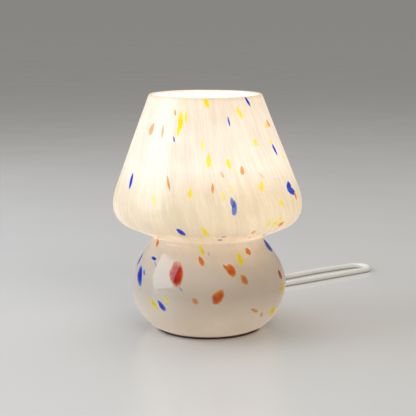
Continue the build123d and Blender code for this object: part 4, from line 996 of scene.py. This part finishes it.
# ==================== Coil tie
# A strap of woven black hook-and-loop tape round the coiled flex, folded over itself on top.
TIE_TURN = math.radians(205)
TIE_MIDDLE = 0.0325
TIE_WIDTH = 0.010
TIE_THICKNESS = 0.0006
TIE_EDGE = 0.00018
TIE_ROWS = 8
TIE_ROUND_THE_CORD = (
    (0.0070, 0.0128), (-0.0090, 0.0128), (-0.0139, 0.0126), (-0.0141, 0.0080), (-0.0140, 0.0010),
    (-0.0122, 0.0004), (0.0000, 0.0004), (0.0122, 0.0004), (0.0140, 0.0010), (0.0141, 0.0080),
    (0.0138, 0.0134), (0.0080, 0.0137), (-0.0060, 0.0136),
)


def tie_material():
    """Plain weave with fine loops standing on it, read along and across the strap."""
    material, tree, shader = new_material("woven_tie", (0.05, 0.05, 0.05), 0.85)
    place = object_place(tree)
    turn = ("Vector", place), ("Angle", -TIE_TURN)
    turned = put(tree, "ShaderNodeVectorRotate", *turn, rotation_type="Z_AXIS").outputs[0]
    along, across, upright = put(tree, "ShaderNodeSeparateXYZ", (0, turned)).outputs
    flat = put(tree, "ShaderNodeCombineXYZ", ("X", maths(tree, "ADD", along, upright)), ("Y", across))
    threads = ("Vector", flat.outputs[0]), ("Scale", 420.0)
    warp, weft = (
        put(tree, "ShaderNodeTexWave", *threads, bands_direction=axis).outputs["Fac"] for axis in "YX"
    )
    fuzz = noise(tree, place, 1800, 3)
    height = maths(tree, "ADD", maths(tree, "MULTIPLY", warp, weft), fuzz)
    tint = blend(tree, height, (0.022, 0.022, 0.023), (0.075, 0.075, 0.078))
    feed(shader, Base_Color=tint, Normal=bumped(tree, height, 0.9, 0.0002))
    return material


tie_line = lay_flex("woven_tie", [(x + TIE_MIDDLE, -TIE_WIDTH / 2, z) for x, z in TIE_ROUND_THE_CORD])
tie_line.data.bevel_depth = 0
select_only(tie_line)
bpy.ops.object.convert(target="MESH")
tie = bpy.context.object
bpy.ops.object.mode_set(mode="EDIT")
bpy.ops.mesh.select_all(action="SELECT")
for _ in range(TIE_ROWS):
    bpy.ops.mesh.extrude_edges_move(TRANSFORM_OT_translate={"value": (0, TIE_WIDTH / TIE_ROWS, 0)})
bpy.ops.mesh.select_all(action="SELECT")
bpy.ops.mesh.normals_make_consistent(inside=False)
bpy.ops.object.mode_set(mode="OBJECT")
apply_modifier(tie, "SOLIDIFY", thickness=TIE_THICKNESS, offset=0)
by_angle = {"limit_method": "ANGLE", "angle_limit": math.radians(60)}
apply_modifier(tie, "BEVEL", width=TIE_EDGE, segments=2, **by_angle)
tie.rotation_euler = (0, 0, TIE_TURN)
tie.location = COIL_CENTRE
set_in_place(tie)
bpy.ops.object.shade_smooth_by_angle(angle=math.radians(50))
tie.data.materials.append(tie_material())
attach(tie, "lamp")
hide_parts("coil_tie")


# ==================== Plug
# A flat two-pin plug, moulded in one with its ribbed sleeve in soft white PVC and waisted for the fingers.
# The pins are nickel-plated brass with a white plastic collar next to the body.
PLUG_HEADING = math.radians(18)
PLUG_FACE = Vector((0.052457, 0.241287, 0.00685))
PLUG_LENGTH = 0.034
PLUG_HEIGHT = 0.0137
PLUG_STEPS = 24
PLUG_EDGE = 0.0024
# half the body's width, from its cord end to its pin face
PLUG_HALF_WIDTHS = ((0.0, 0.0058), (0.28, 0.0086), (0.55, 0.0108), (0.84, 0.0154), (1.0, 0.0150))


def plug_half_width(share):
    """Half the width at a share of the body's length."""
    for (low, near), (high, far) in zip(PLUG_HALF_WIDTHS, PLUG_HALF_WIDTHS[1:]):
        if share <= high:
            way = (share - low) / (high - low)
            return near + (far - near) * way * way * (3 - 2 * way)
    return PLUG_HALF_WIDTHS[-1][1]


def mould_plug():
    """The body, drawn out step by step from its cord end, with its edges rounded."""
    bpy.ops.mesh.primitive_plane_add(size=1, location=(0, 0, 0), rotation=(0, math.pi / 2, 0))
    body = bpy.context.object
    body.name = "moulded_plug"
    set_in_place(body)
    bpy.ops.object.mode_set(mode="EDIT")
    bpy.ops.mesh.select_all(action="SELECT")
    width = 2 * plug_half_width(0)
    bpy.ops.transform.resize(value=(1, width, PLUG_HEIGHT))
    for step in range(1, PLUG_STEPS + 1):
        bpy.ops.mesh.extrude_region_move(TRANSFORM_OT_translate={"value": (PLUG_LENGTH / PLUG_STEPS, 0, 0)})
        far_width = 2 * plug_half_width(step / PLUG_STEPS)
        bpy.ops.transform.resize(value=(1, far_width / width, 1))
        width = far_width
    bpy.ops.mesh.select_all(action="SELECT")
    bpy.ops.mesh.normals_make_consistent(inside=False)
    bpy.ops.object.mode_set(mode="OBJECT")
    by_angle = {"limit_method": "ANGLE", "angle_limit": math.radians(40)}
    apply_modifier(body, "BEVEL", width=PLUG_EDGE, segments=6, **by_angle)
    body.rotation_euler = (0, 0, PLUG_HEADING)
    body.location = PLUG_FACE - Vector((math.cos(PLUG_HEADING), math.sin(PLUG_HEADING), 0)) * PLUG_LENGTH
    set_in_place(body)
    bpy.ops.object.shade_smooth_by_angle(angle=math.radians(40))
    return body


plug = mould_plug()
plug.data.materials.append(soft_pvc)
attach(plug, "lamp")
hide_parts("plug_body")
pin_collar = grained("pin_collar", ((0.77, 0.76, 0.73), (0.80, 0.79, 0.76)), (0.28, 0.38), 900, 0.00001)
dress(soft_pvc, "plug_strain_relief")
dress(nickel, "plug_pins")
dress(pin_collar, "plug_pin_sleeves")
